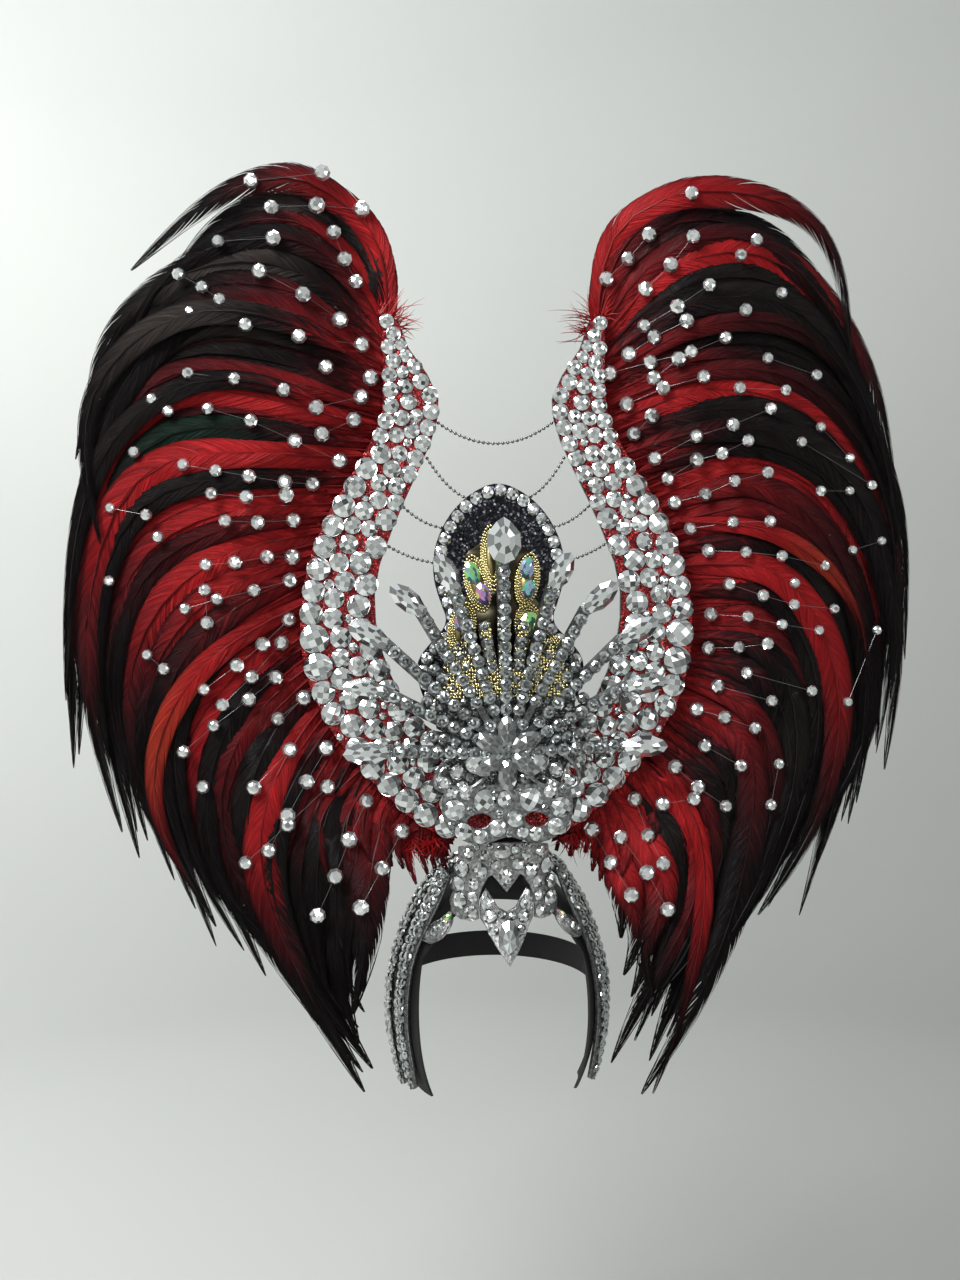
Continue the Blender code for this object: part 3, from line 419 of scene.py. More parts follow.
# Threads of stones over the feathers: pixels of the photograph at both ends of a thread,
# and how many stones it carries
LEFT_THREADS = [
    (362, 211, 271, 202, 3), (322, 173, 251, 181, 2), (357, 281, 331, 233, 3),
    (273, 238, 218, 241, 2), (340, 319, 259, 269, 3), (220, 298, 179, 276, 3),
    (362, 347, 190, 310, 4), (281, 388, 187, 370, 3), (326, 367, 326, 367, 1),
    (371, 378, 371, 378, 1), (361, 397, 316, 407, 2), (337, 458, 210, 408, 4),
    (168, 411, 152, 399, 2), (354, 420, 322, 434, 2), (315, 485, 184, 465, 5),
    (134, 452, 134, 452, 1), (282, 494, 212, 494, 3), (146, 515, 110, 508, 2),
    (292, 521, 222, 521, 3), (158, 537, 158, 537, 1), (296, 553, 205, 566, 4),
    (109, 581, 109, 581, 1), (290, 581, 182, 609, 4), (205, 590, 207, 623, 2),
    (291, 620, 206, 690, 4), (278, 648, 224, 703, 3), (147, 655, 164, 669, 2),
    (276, 676, 182, 752, 4), (304, 698, 278, 719, 2), (203, 787, 203, 787, 1),
    (323, 751, 272, 851, 4), (327, 785, 247, 865, 3), (290, 750, 254, 788, 2),
    (366, 802, 318, 914, 4), (402, 828, 362, 907, 3),
]
RIGHT_THREADS = [
    (608, 277, 647, 235, 3), (692, 193, 692, 193, 1), (646, 287, 694, 238, 3),
    (741, 255, 757, 240, 2), (643, 326, 706, 285, 3), (782, 293, 782, 293, 1),
    (626, 353, 686, 319, 3), (746, 310, 746, 310, 1), (612, 373, 729, 337, 4),
    (654, 378, 679, 359, 2), (623, 404, 706, 375, 3), (768, 358, 817, 375, 2),
    (634, 434, 652, 416, 2), (656, 457, 769, 409, 4), (668, 475, 746, 442, 4),
    (740, 388, 786, 390, 2), (821, 427, 850, 458, 2), (677, 500, 769, 469, 4),
    (802, 442, 872, 485, 2), (694, 528, 770, 519, 3), (821, 491, 850, 491, 2),
    (711, 549, 821, 564, 4), (853, 550, 882, 541, 2), (729, 585, 831, 613, 4),
    (795, 583, 795, 583, 1), (710, 616, 820, 631, 4), (708, 649, 769, 648, 3),
    (747, 673, 812, 691, 2), (718, 686, 772, 701, 2), (692, 708, 756, 727, 3),
    (848, 702, 877, 630, 2), (705, 746, 741, 766, 2), (675, 769, 726, 803, 3),
    (779, 764, 771, 805, 2), (663, 804, 694, 799, 2), (635, 800, 665, 863, 3),
    (590, 832, 634, 891, 3), (623, 838, 669, 908, 3),
]

# Dyes of the feathers with their painted sheens, and each kind of feather as station and dye along
# the shaft
DYES_AND_PAINTED_SHEENS = {
    "crimson": (0.198, 0.006, 0.0078), "scarlet": (0.265, 0.0078, 0.0095),
    "ember": (0.26, 0.023, 0.012), "wine": (0.028, 0.0022, 0.0034),
    "deep": (0.082, 0.0032, 0.0046), "night": (0.0024, 0.001, 0.0013),
    # Painted sheen, not dye: slate and sheen paint the grey-brown gloss of black feathers, and
    # green their green gloss
    "painted_slate_sheen": (0.0075, 0.0048, 0.005), "sheen": (0.021, 0.0162, 0.0145),
    "painted_green_sheen": (0.004, 0.012, 0.0075),
}
KINDS = {
    "half": [(0, "crimson"), (0.2, "scarlet"), (0.36, "crimson"), (0.48, "deep"), (0.58, "wine"),
             (0.7, "night")],
    "short": [(0, "crimson"), (0.16, "deep"), (0.3, "wine"), (0.45, "night")],
    "flame": [(0, "crimson"), (0.2, "scarlet"), (0.44, "crimson"), (0.58, "deep"),
              (0.69, "wine"), (0.8, "night")],
    "ember": [(0, "crimson"), (0.35, "scarlet"), (0.5, "ember"), (0.6, "ember"),
              (0.75, "deep"), (0.9, "night")],
    "wine": [(0, "crimson"), (0.2, "deep"), (0.4, "wine"), (0.65, "night")],
    "deep": [(0, "crimson"), (0.4, "deep"), (0.6, "wine"), (0.8, "night")],
    # The slate, sheen and green bands of these kinds are painted sheen along the black
    "night": [(0, "crimson"), (0.08, "wine"), (0.2, "night"), (0.4, "painted_slate_sheen"), (0.6, "night")],
    "sheen": [(0, "crimson"), (0.08, "wine"), (0.2, "night"), (0.36, "sheen"), (0.5, "sheen"),
              (0.66, "night")],
    "painted_green_sheen": [(0, "crimson"), (0.1, "wine"), (0.22, "night"), (0.32, "painted_green_sheen"),
              (0.42, "painted_green_sheen"), (0.55, "night")],
    "down": [(0, "crimson"), (0.5, "deep"), (1, "wine")],
    "hackle": [(0, "crimson"), (0.5, "crimson"), (1, "deep")],
}
LEFT_KINDS = [
    ("half", "sheen"), ("sheen", "sheen"), ("sheen", "short"), ("short", "sheen"),
    ("night", "wine"), ("flame", "painted_green_sheen"), ("flame", "night"), ("half", "wine"),
    ("half", "night"), ("short", "night"), ("half", "night"), ("wine", "night"),
    ("half", "night"), ("short", "night"), ("night", "wine"), ("wine", "night"),
]
RIGHT_KINDS = [
    ("flame", "deep"), ("short", "wine"), ("flame", "night"), ("night", "half"),
    ("night", "wine"), ("flame", "night"), ("night", "night"), ("half", "wine"),
    ("short", "night"), ("flame", "night"), ("short", "night"), ("night", "wine"),
    ("short", "night"), ("night", "wine"), ("half", "night"), ("flame", "half"),
]
# Between two guide feathers: share of the way, layer, and which of the row's kinds it takes
BETWEEN = [
    (0.14, 2.6, 1), (0.27, 0.8, 0), (0.41, 1.8, 1), (0.54, 0.3, 1), (0.68, 3.2, 0),
    (0.81, 1.3, 0), (0.92, 3.6, 1),
]
OTHER_KINDS = ["night", "short", "deep", "wine", "half", "night", "short", "wine"]
OTHER_SHARE = 0.3
HACKLE_KINDS = {"left": ("hackle", "down"), "right": ("hackle", "flame")}


class Shape:
    """Gathers the points, faces, tints and surface places of one piece from whole arrays"""

    def __init__(self):
        self.points = []
        self.corners = []
        self.sizes = []
        self.tints = []
        self.places = []
        self.count = 0

    def add(self, points, faces, tint=(1.0, 1.0, 1.0), places=(0.0, 0.0), closed=True):
        """Adds points and the faces between them, an array or a list of arrays

        Tint and place are given for each corner or shared.  The faces of a closed body are
        turned round where its volume comes out negative.
        """
        points = np.asarray(points, float).reshape(-1, 3)
        groups = [np.asarray(part) for part in (faces if isinstance(faces, list) else [faces])]
        if closed:
            volume = 0.0
            for part in groups:
                for k in range(1, part.shape[1] - 1):
                    first, second, third = (points[part[:, j]] for j in (0, k, k + 1))
                    volume += (first * np.cross(second, third)).sum()
            if volume < 0:
                groups = [part[:, ::-1] for part in groups]
        for part in groups:
            rows, size = part.shape
            self.corners.append((part + self.count).ravel())
            self.sizes.append(np.full(rows, size))
            self.tints.append(np.broadcast_to(tint, (rows, size, 3)).reshape(-1, 3))
            self.places.append(np.broadcast_to(places, (rows, size, 2)).reshape(-1, 2))
        self.points.append(points)
        self.count += len(points)

    def make(self, name, material, nodes=(), smooth=False):
        """Makes the mesh object, lets it ride on the root and stand for its CAD nodes"""
        points = (np.concatenate(self.points) * MM).astype(np.float32)
        corners = np.concatenate(self.corners).astype(np.int32)
        sizes = np.concatenate(self.sizes)
        starts = np.concatenate([[0], np.cumsum(sizes)[:-1]]).astype(np.int32)
        mesh = bpy.data.meshes.new(name)
        mesh.vertices.add(len(points))
        mesh.vertices.foreach_set("co", points.ravel())
        mesh.loops.add(len(corners))
        mesh.loops.foreach_set("vertex_index", corners)
        mesh.polygons.add(len(sizes))
        mesh.polygons.foreach_set("loop_start", starts)
        mesh.update(calc_edges=True)
        tints = np.ones((len(corners), 4), np.float32)
        tints[:, :3] = np.concatenate(self.tints)
        layer = mesh.color_attributes.new(name="tint", type="FLOAT_COLOR", domain="CORNER")
        layer.data.foreach_set("color", tints.ravel())
        places = mesh.uv_layers.new(name="place")
        places.uv.foreach_set("vector", np.concatenate(self.places).astype(np.float32).ravel())
        mesh.polygons.foreach_set("use_smooth", np.full(len(sizes), smooth))
        mesh.materials.append(material)
        item = bpy.data.objects.new(name, mesh)
        bpy.context.scene.collection.objects.link(item)
        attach(item, "root")
        if nodes:
            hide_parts(*nodes)
        return item


def grid_faces(rows, columns, closed=False):
    """Corner numbers of the quads of a grid of points, wrapping round where it is closed"""
    row = np.arange(rows - 1)[:, None] * columns
    column = np.arange(columns if closed else columns - 1)[None]
    beside = (column + 1) % columns
    faces = np.stack([row + column, row + beside, row + columns + beside,
                      row + columns + column], -1)
    return faces.reshape(-1, 4)


def ring_faces(rows, columns):
    """Faces of a tube of closed rings, each end closed by a ladder of quads across its ring"""
    ladder = np.array([[columns - 1 - k, columns - 2 - k, k + 1, k]
                       for k in range(columns // 2 - 1)])
    return np.vstack([grid_faces(rows, columns, closed=True), ladder,
                      ladder[:, ::-1] + (rows - 1) * columns])


def unit(vectors):
    """Vectors made one long"""
    return vectors / np.sqrt((vectors ** 2).sum(-1))[..., None]


def read_rows(at, marks, rows):
    """Rows of a table at places between its marks, each column interpolated by itself"""
    return np.stack([np.interp(at, marks, column) for column in np.asarray(rows, float).T], -1)


def smooth_line(knots, shares):
    """A natural cubic spline through knots, spaced by their chords"""
    knots = np.array(knots, float)
    gaps = np.sqrt((np.diff(knots, axis=0) ** 2).sum(1))
    stations = np.concatenate([[0.0], np.cumsum(gaps)]) / gaps.sum()
    count = len(knots)
    before = np.diff(stations)[:-1]
    after = np.diff(stations)[1:]
    inner = np.arange(1, count - 1)
    system = np.eye(count)
    system[inner, inner - 1] = before
    system[inner, inner] = 2 * (before + after)
    system[inner, inner + 1] = after
    right = np.zeros_like(knots)
    slopes = np.diff(knots, axis=0) / np.diff(stations)[:, None]
    right[1:-1] = 6 * np.diff(slopes, axis=0)
    bend = np.linalg.solve(system, right)
    spot = np.clip(np.searchsorted(stations, shares, side="right") - 1, 0, count - 2)
    step = (stations[spot + 1] - stations[spot])[:, None]
    far = (np.asarray(shares) - stations[spot])[:, None]
    near = step - far
    return (bend[spot] * near ** 3 / (6 * step) + bend[spot + 1] * far ** 3 / (6 * step)
            + (knots[spot] / step - bend[spot] * step / 6) * near
            + (knots[spot + 1] / step - bend[spot + 1] * step / 6) * far)


def walk(points):
    """Share of a line's length walked at each of its points, and the whole length"""
    steps = np.sqrt((np.diff(points, axis=0) ** 2).sum(1))
    return np.concatenate([[0.0], np.cumsum(steps)]) / steps.sum(), steps.sum()


def along(points, shares):
    """Points at shares of the length of a line"""
    return read_rows(shares, walk(np.asarray(points, float))[0], points)


def smooth_step(share):
    """Eases from 0 to 1"""
    share = np.clip(share, 0.0, 1.0)
    return share * share * (3 - 2 * share)


RIM_STATIONS = np.arange(160)
RIM = along(PANEL_OUTER, np.linspace(0.0, 1.0, 160))
RIM_RUN = RIM[np.minimum(RIM_STATIONS + 1, 159)] - RIM[np.maximum(RIM_STATIONS - 1, 0)]
RIM_OUT = unit(np.stack([-RIM_RUN[:, 1], RIM_RUN[:, 0]], -1))


def feather_depth(spots, layer):
    """Depth of a layer of feathers at places, which depends on the places alone

    Layers lie close together at the panel's edge and part further out.  They swell forward
    over the middle of a wing and below it, and fall back at its outer rim.
    """
    nearest = ((spots[:, None] - RIM[None]) ** 2).sum(2).argmin(1)
    away = np.maximum(((spots - RIM[nearest]) * RIM_OUT[nearest]).sum(1), 0.0)
    open_up = smooth_step((away - PART_FROM) / PART_OVER)
    spread = (ROOT_SPREAD + (1 - ROOT_SPREAD) * open_up) * (layer - 2) * LAYER_STEP
    x, z = spots.T
    swell = SWELL * np.sin(np.pi * x / WING_WIDE) - FALL * smooth_step((x - 200.0) / 130.0)
    low = LOW_SWELL * smooth_step((40.0 - z) / 120.0) * smooth_step((190.0 - x) / 80.0)
    return ROOT_Y + spread - open_up * (swell + low)


def rim_station(height):
    """Where along the panel's outer edge a height is, as a number of its stations"""
    return np.interp(-height, -RIM[:, 1], RIM_STATIONS)


def rim_point(height, inset):
    """A place on the panel's outer edge at a height, moved into the panel"""
    at = rim_station(height)
    k = int(at)
    spot = RIM[k] + (RIM[min(k + 1, len(RIM) - 1)] - RIM[k]) * (at - k)
    return spot - RIM_OUT[k] * inset


def guide(table, share, rng):
    """Root and bends of the feather at a share of the way through the guide rows

    Its tip swings along the last stretch, and each bend is drawn looser than the one before.
    """
    rows = np.array(table, float)
    row = read_rows(share * (len(rows) - 1), np.arange(len(rows)), rows)
    row[7:] += (row[7:] - row[5:7]) * rng.normal(0, TIP_SPREAD) * (-1, 1)
    root = rim_point(min(row[0], HIGHEST_ROOT), ROOT_INSET)
    bends = row[1:].reshape(4, 2) + rng.normal(0, 1, (4, 2)) * BEND_SPREAD
    return np.vstack([root, bends])


def along_rows(values, share):
    """Value at a share of the way through evenly spaced values"""
    return np.interp(share * (len(values) - 1), np.arange(len(values)), values)


def dye_along(kind, stations):
    """Colour of a kind of feather at stations from its root to its tip"""
    marks, dyes = zip(*KINDS[kind])
    return read_rows(stations, marks, [DYES_AND_PAINTED_SHEENS[dye] for dye in dyes])


def vane_locks(length, step, rng):
    """Where the barb locks on both sides of a shaft start, how far they run and spread

    Locks gather in clumps.  The ends of a clump's locks are drawn towards its furthest, and
    leave splits between the clumps.
    """
    count = int(length * 0.9 / step)
    base = np.linspace(0.01, 0.99, count) + np.zeros((2, 1))
    base += rng.normal(0, 0.2 / count, base.shape)
    marks, runs = np.array(LOCK_RUNS).T
    reach = np.interp(base, marks, runs) * min(length / LONG_FEATHER, 1.0) / length
    reach *= rng.uniform(0.93, 1.08, base.shape)
    reach = np.minimum(reach, np.maximum(1.0 - base, SHORTEST_RUN))
    clump = np.cumsum(rng.random(base.shape) < CLUMP_CHANCE, axis=1)
    tipward = smooth_step((base - 0.55) / 0.4)
    pull = rng.uniform(0.0, 1.0, MOST_CLUMPS)[clump] * (0.02 + 0.22 * tipward)
    spread = rng.uniform(-1.0, 1.0, MOST_CLUMPS)[clump] * (0.025 + 0.03 * tipward)
    own = clump + np.array([[0], [MOST_CLUMPS]])
    furthest = np.zeros(2 * MOST_CLUMPS)
    np.maximum.at(furthest, own, base + reach)
    return base, reach + (furthest[own] - base - reach) * pull, spread


def make_vane(shape, knots, layer, side, kind, wide, rng, cut=1.0):
    """One feather: a shaft, and barb locks that leave it on both sides towards the tip

    A lock starts at a station of the shaft and runs on along it, while it moves out to the
    edge of the vane as 1 - (1 - q) ^ 1.9, where q goes from 0 to 1 along the lock.  The vane
    is cupped as the square of the place across it, and rippled as a sine along it.
    """
    line = smooth_line(knots, np.linspace(0.0, cut, 90))
    walked, length = walk(line)
    run = unit(np.gradient(line, axis=0))
    rail = np.hstack([line, run[:, 1:], -run[:, :1]])

    def at(station, offset):
        """Places beside the shaft, from the station along it and the offset across it"""
        place = read_rows(np.clip(station, 0.0, 1.0), walked, rail)
        return place[..., :2] + offset[..., None] * place[..., 2:]

    step = bpy.context.scene.headdress.lock_step / MM
    base, reach, spread = vane_locks(length, step, rng)
    q = np.linspace(0.0, 1.0, LOCK_POINTS)
    station = base[..., None] + reach[..., None] * q
    half = np.interp(station, *np.array(VANE_WIDTHS).T) * wide
    out = half * (1 - (1 - q) ** LOCK_CURVE) * (1 + spread[..., None] * q)
    q = q[:, None]
    ends = np.array([-1.0, 1.0])
    places = station[..., None] + LOCK_SHARE * step / length * (1 - 0.6 * q ** 5) * ends
    sides = np.array([1.0, -1.0]).reshape(2, 1, 1, 1)
    offset = sides * out[..., None] + 0 * places
    spots = at(places, offset)
    depth = feather_depth(spots.reshape(-1, 2), layer).reshape(places.shape)
    cup = (offset / (half[..., None] + 1.0)) ** 2 * VANE_CUP
    tilt = ends * LOCK_TILT * (1 - q) + rng.normal(0, 0.1, base.shape)[..., None, None]
    ripple = RIPPLE * np.sin(places * RIPPLE_WAVES + layer * 2.0 + sides)
    points = np.stack([side * spots[..., 0], depth + cup + tilt + ripple, spots[..., 1]], -1)
    dye_at = (places + rng.normal(0, 0.02, base.shape)[..., None, None]
              + EDGE_SHIFT * (q - 0.35) ** 2 * np.sign(q - 0.35))
    bright = np.exp(rng.normal(0, 0.13, base.shape))[..., None, None, None]
    # Painted shade darkens the colour towards the vane's edge, for the shadow between overlapping
    # feathers
    colour = dye_along(kind, dye_at) * bright * (1 - EDGE_PAINTED_SHADE * q[..., None] ** 3)
    grain = np.stack([(base * length)[..., None, None] + ends * step * 0.9 + 0 * places,
                      q * 30.0 + 0 * places], -1)
    size = 2 * LOCK_POINTS
    faces = grid_faces(LOCK_POINTS, 2)[:, ::side]
    every = (faces + np.arange(base.size)[:, None, None] * size).reshape(-1, 4)
    shape.add(points, every, colour.reshape(-1, 3)[every], grain.reshape(-1, 2)[every],
              closed=False)
    make_shaft(shape, at, layer, side, kind)


def make_shaft(shape, at, layer, side, kind):
    """The shaft: a four sided tube, whose radius falls as (1 - station) ^ 0.8"""
    stations = np.linspace(0.0, 0.985, SHAFT_POINTS)[:, None] + np.zeros(4)
    radius = SHAFT_RADIUS * (1 - stations) ** 0.8 + SHAFT_TIP
    across, forward = np.array([(1, 0), (0, -1), (-1, 0), (0, 1)]).T
    spots = at(stations, radius * across)
    depth = feather_depth(spots.reshape(-1, 2), layer).reshape(radius.shape)
    points = np.stack([side * spots[..., 0], depth - 0.35 + radius * forward, spots[..., 1]], -1)
    faces = ring_faces(SHAFT_POINTS, 4)[:, ::-side]
    colour = dye_along(kind, stations.ravel()) * SHAFT_SHADE + 0.004
    shape.add(points, faces, colour[faces])


def make_backing(shape, top, bottom, side):
    """The strip behind the panel's edge that holds the roots of a bank"""
    rows = []
    near, far = PANEL_BACK + 0.3, PANEL_BACK + 0.3 + BACKING_DEEP
    for height in np.linspace(top, bottom, 12):
        outer = rim_point(height, 1.5)
        inner = rim_point(height, 1.5 + min(BACKING_WIDE, 7.0 + (417.0 - height) * 0.3))
        rows.append([(side * spot[0], depth, spot[1]) for spot, depth in
                     ((outer, near), (outer, far), (inner, far), (inner, near))])
    shape.add(rows, ring_faces(12, 4), DYES_AND_PAINTED_SHEENS["wine"])


def make_fluff(shape, tufts, side, rng):
    """Loose red down: tufts of hairs as place, direction, length, count and layer"""
    for x, z, angle, length, count, layer in tufts:
        turn = np.radians(angle + rng.normal(0, 30, count))
        reach = length * rng.uniform(0.4, 1.1, count)
        share = np.linspace(0, 1, HAIR_POINTS)[:, None, None]
        run = np.stack([np.sin(turn), np.cos(turn)], -1) * reach[:, None]
        bend = np.stack([run[:, 1], -run[:, 0]], -1) * rng.normal(0, 0.35, (count, 1))
        root = np.array([x, z]) + rng.normal(0, 2.5, (count, 2))
        lines = root + run * share + bend * share ** 2
        depth = ROOT_Y + LAYER_STEP * ROOT_SPREAD * (layer - 2) + rng.normal(0, 1.6, count)
        depth = depth + rng.normal(0, 3.0, count) * share[..., 0] ** 2
        lines = np.stack([side * lines[..., 0], depth, lines[..., 1]], -1)
        width = HAIR_RADIUS * (1 - share[:, 0, 0] ** 2) + HAIR_TIP
        colour = np.array(DYES_AND_PAINTED_SHEENS["scarlet"]) * rng.uniform(0.6, 1.1)
        for number in range(count):
            tube(shape, lines[:, number], width, colour, 3)


def make_down(shape, top, bottom, side, rng):
    """Short feathers along the panel's edge, which close the gaps between the roots"""
    for height in np.arange(bottom, top, DOWN_PITCH):
        root = rim_point(height + rng.normal(0, 1.0), 4.0)
        out = RIM_OUT[int(rim_station(height))]
        rise = np.array([-out[1], out[0]]) * rng.normal(0.12, 0.12)
        run = (out + rise) * rng.uniform(*DOWN_LENGTHS)
        knots = [root, root + run * 0.5 + (0, 1.5), root + run + (0, -2.0)]
        make_vane(shape, knots, rng.uniform(*DOWN_LAYERS), side, "down", DOWN_WIDE, rng)


def make_hackles(shape, side, kinds, rng):
    """Short feathers that hang under the base of a panel, longer further out"""
    for height in np.linspace(*HACKLE_HEIGHTS, HACKLES):
        root = rim_point(height, 7.0)
        length = HACKLE_LENGTH + 0.85 * (root[0] - 45.0) + rng.uniform(-6.0, 22.0)
        lean = 0.06 + 0.004 * (root[0] - 60.0) + rng.normal(0, 0.05)
        knots = [root, root + np.array([lean + 0.1, -0.5]) * length,
                 root + np.array([lean, -1.0]) * length]
        kind = kinds[rng.integers(len(kinds))]
        make_vane(shape, knots, rng.uniform(*HACKLE_LAYERS), side, kind,
                  rng.uniform(*HACKLE_WIDTHS), rng)


def wing_feathers(table, kinds, rng):
    """Every feather of one wing, from the tip of its panel down

    Each is a share of the way down, a layer, a kind, a width and how much of its length it
    keeps.  Two guide feathers in three lie in front.
    """
    last = len(table) - 1
    feathers = []
    for row in range(last + 1):
        layer = (0.0, 1.1, 0.5)[row % 3]
        wide = rng.uniform(0.8, 1.0) if row else 0.8
        feathers.append((row / last, layer, kinds[row][0], wide, 1.0))
        for share, layer, pick in BETWEEN if row < last else []:
            kind = kinds[row][pick]
            if rng.random() < OTHER_SHARE:
                kind = OTHER_KINDS[rng.integers(len(OTHER_KINDS))]
            keep = rng.uniform(0.74, 0.97) if row else rng.uniform(0.36, 0.52)
            feathers.append(((row + share) / last, layer + rng.uniform(-0.2, 0.2), kind,
                             rng.uniform(0.55, 0.85), keep))
    return feathers


def rounded(outline, times=2):
    """Cuts the corners of a closed outline, a quarter of each side at a time"""
    outline = np.asarray(outline, float)
    for _ in range(times):
        following = np.roll(outline, -1, axis=0)
        outline = np.stack([outline * 0.75 + following * 0.25,
                            outline * 0.25 + following * 0.75], 1).reshape(-1, 2)
    return outline


def mirrored(half):
    """A whole outline from its right half, which runs from the centre to the centre"""
    return list(half) + [(-x, z) for x, z in reversed(half) if x > 0]


def inset(outline, distance):
    """Moves a closed outline inwards by a distance"""
    run = unit(np.roll(outline, -1, axis=0) - np.roll(outline, 1, axis=0))
    inward = np.stack([-run[:, 1], run[:, 0]], -1)
    return outline + inward * distance * np.sign(signed_area(outline))


def inside(points, outline):
    """Whether points lie inside a closed outline"""
    x, z = points[:, None, 0], points[:, None, 1]
    x1, z1 = outline.T
    x2, z2 = np.roll(outline, -1, axis=0).T
    rise = np.where(z2 == z1, 1e-9, z2 - z1)
    cross = ((z1 > z) != (z2 > z)) & (x < (x2 - x1) * (z - z1) / rise + x1)
    return cross.sum(1) % 2 == 1


def edge_distance(points, outline):
    """Distance from points to the nearest side of a closed outline"""
    start = outline[None]
    side = (np.roll(outline, -1, axis=0) - outline)[None]
    reach = points[:, None] - start
    share = np.clip((reach * side).sum(2) / (side ** 2).sum(2), 0.0, 1.0)
    return np.sqrt(((reach - side * share[..., None]) ** 2).sum(2)).min(1)


def pack_stones(outlines, sizes, placed, rng, tries=1500, edge=0.5, space=0.2):
    """Fills an outline that may have holes with round stones, the larger sizes first

    Places are drawn at random, and each stone keeps clear of the edge and of the others.
    """
    outer = np.asarray(outlines[0], float)
    low, high = outer.min(0), outer.max(0)
    placed = [np.array(stone, float) for stone in placed]
    for size in sizes:
        spots = rng.uniform(low, high, (tries, 2))
        room = edge_distance(spots, outer)
        keep = inside(spots, outer) & (room > size / 2 + edge)
        for hole in outlines[1:]:
            hole = np.asarray(hole, float)
            keep &= ~inside(spots, hole) & (edge_distance(spots, hole) > size / 2 + edge)
        for spot in spots[keep]:
            others = np.array(placed or [(1e4, 1e4, 0)])
            reach = np.sqrt(((others[:, :2] - spot) ** 2).sum(1)) - others[:, 2] / 2
            if reach.min() > size / 2 + space:
                placed.append(np.array([spot[0], spot[1], size]))
    return np.array(placed)


def settle(placed, outline, rounds=160):
    """Moves round stones apart until they touch, and keeps them inside an outline

    In each round every overlap pushes both stones back by a part of it, and a stone that
    crosses the edge moves in.  What still overlaps at the end is made smaller.
    """
    spots, sizes = placed[:, :2].copy(), placed[:, 2].copy()
    edge = along(np.vstack([outline, outline[:1]]), np.linspace(0, 1, 900))

    def overlaps():
        """Lines and distances between all stones, and how far each pair overlaps"""
        apart = spots[:, None] - spots[None]
        reach = np.sqrt((apart ** 2).sum(2)) + np.eye(len(spots)) * FAR
        return apart, reach, np.maximum((sizes[:, None] + sizes[None]) / 2 - reach, 0.0)

    for _ in range(rounds):
        apart, reach, overlap = overlaps()
        spots += (apart * (overlap / reach * 0.3)[..., None]).sum(1)
        gap = spots[:, None] - edge[None]
        far = np.sqrt((gap ** 2).sum(2))
        nearest = np.arange(len(spots)), far.argmin(1)
        sense = np.where(inside(spots, outline), 1, -1)
        short = np.maximum(sizes / 2 - STONE_OVERHANG - far[nearest] * sense, 0.0)
        spots += gap[nearest] / far[nearest][:, None] * sense[:, None] * short[:, None] * 0.5
    return np.column_stack([spots, sizes - overlaps()[2].max(1)])


def stone_form(sides, rings, outline=None):
    """A cut stone of unit half size, its rings given as (scale, height) from the back up

    The facets between two rings are flat quads, each made of two triangles that share one
    facet number.  The table at the front is one facet and the back another.
    """
    outline = outline or (lambda turn: (np.cos(turn), np.sin(turn)))
    step = np.arange(sides)
    ahead = (step + 1) % sides
    across, up = outline(2 * np.pi * (step + 0.5) / sides)
    points = [np.stack([across * scale, up * scale, np.full(sides, height)], -1)
              for scale, height in rings]
    faces = []
    facets = []
    for number in range(len(rings) - 1):
        low, top = number * sides, (number + 1) * sides
        faces += [np.stack([low + step, low + ahead, top + ahead], -1),
                  np.stack([low + step, top + ahead, top + step], -1)]
        facets += [number * sides + step] * 2
    centre = sides * len(rings)
    top = centre - sides
    faces += [np.stack([ahead, step, np.full(sides, centre + 1)], -1),
              np.stack([top + step, top + ahead, np.full(sides, centre)], -1)]
    facets += [np.full(sides, top), np.full(sides, top + 1)]
    points.append([[0, 0, rings[-1][1]], [0, 0, rings[0][1]]])
    facets = np.concatenate(facets)
    checker = (facets // sides + facets % sides) % 2
    return np.vstack(points), np.vstack(faces), facets, checker


def chess_form(cells):
    """A round stone of unit half size whose front is a dome of square facets

    The squares of a flat grid are bent to a circle by x = u sqrt(1 - v^2 / 2) and
    y = v sqrt(1 - u^2 / 2), and raised as a dome.
    """
    steps = np.linspace(-1.0, 1.0, cells + 1)
    u, v = np.meshgrid(steps, steps, indexing="ij")
    x, y = u * np.sqrt(1 - v ** 2 / 2), v * np.sqrt(1 - u ** 2 / 2)
    front = np.stack([x, y, 0.25 + 0.75 * (1 - x ** 2 - y ** 2).clip(0)], -1).reshape(-1, 3)
    quads = grid_faces(cells + 1, cells + 1)[:, ::-1]
    size = cells + 1
    low, high = np.arange(cells), np.arange(cells, 0, -1)
    loop = np.concatenate([low * size, cells * size + low, high * size + cells, high])
    ahead = np.roll(loop, -1)
    count = len(loop)
    back = len(front) + np.arange(count)
    back_ahead = np.roll(back, -1)
    base = np.column_stack([front[loop][:, :2], np.full(count, -0.2)])
    points = np.vstack([front, base, [[0, 0, -0.2]]])
    faces = np.vstack([quads[:, [0, 1, 2]], quads[:, [0, 2, 3]],
                       np.stack([back, back_ahead, ahead], -1),
                       np.stack([back, ahead, loop], -1),
                       np.stack([back_ahead, back, np.full(count, len(points) - 1)], -1)])
    number = np.arange(cells * cells)
    rim = cells * cells + np.arange(count)
    facets = np.concatenate([number, number, rim, rim, np.full(count, rim[-1] + 1)])
    checker = np.concatenate([(number // cells + number % cells) % 2] * 2
                             + [np.arange(count) % 2] * 2 + [np.zeros(count)])
    return points, faces, facets, checker


def pointed_oval(turn):
    """Outline of a navette, pointed at both ends"""
    wide = np.cos(turn)
    return wide * np.abs(wide) ** 0.2, np.sin(turn)


def drop_outline(turn):
    """Outline of a teardrop with its point up"""
    wide = np.cos(turn)
    tall = np.sin(turn)
    return wide * np.where(tall > 0, np.abs(wide) ** 0.8, 1.0), tall


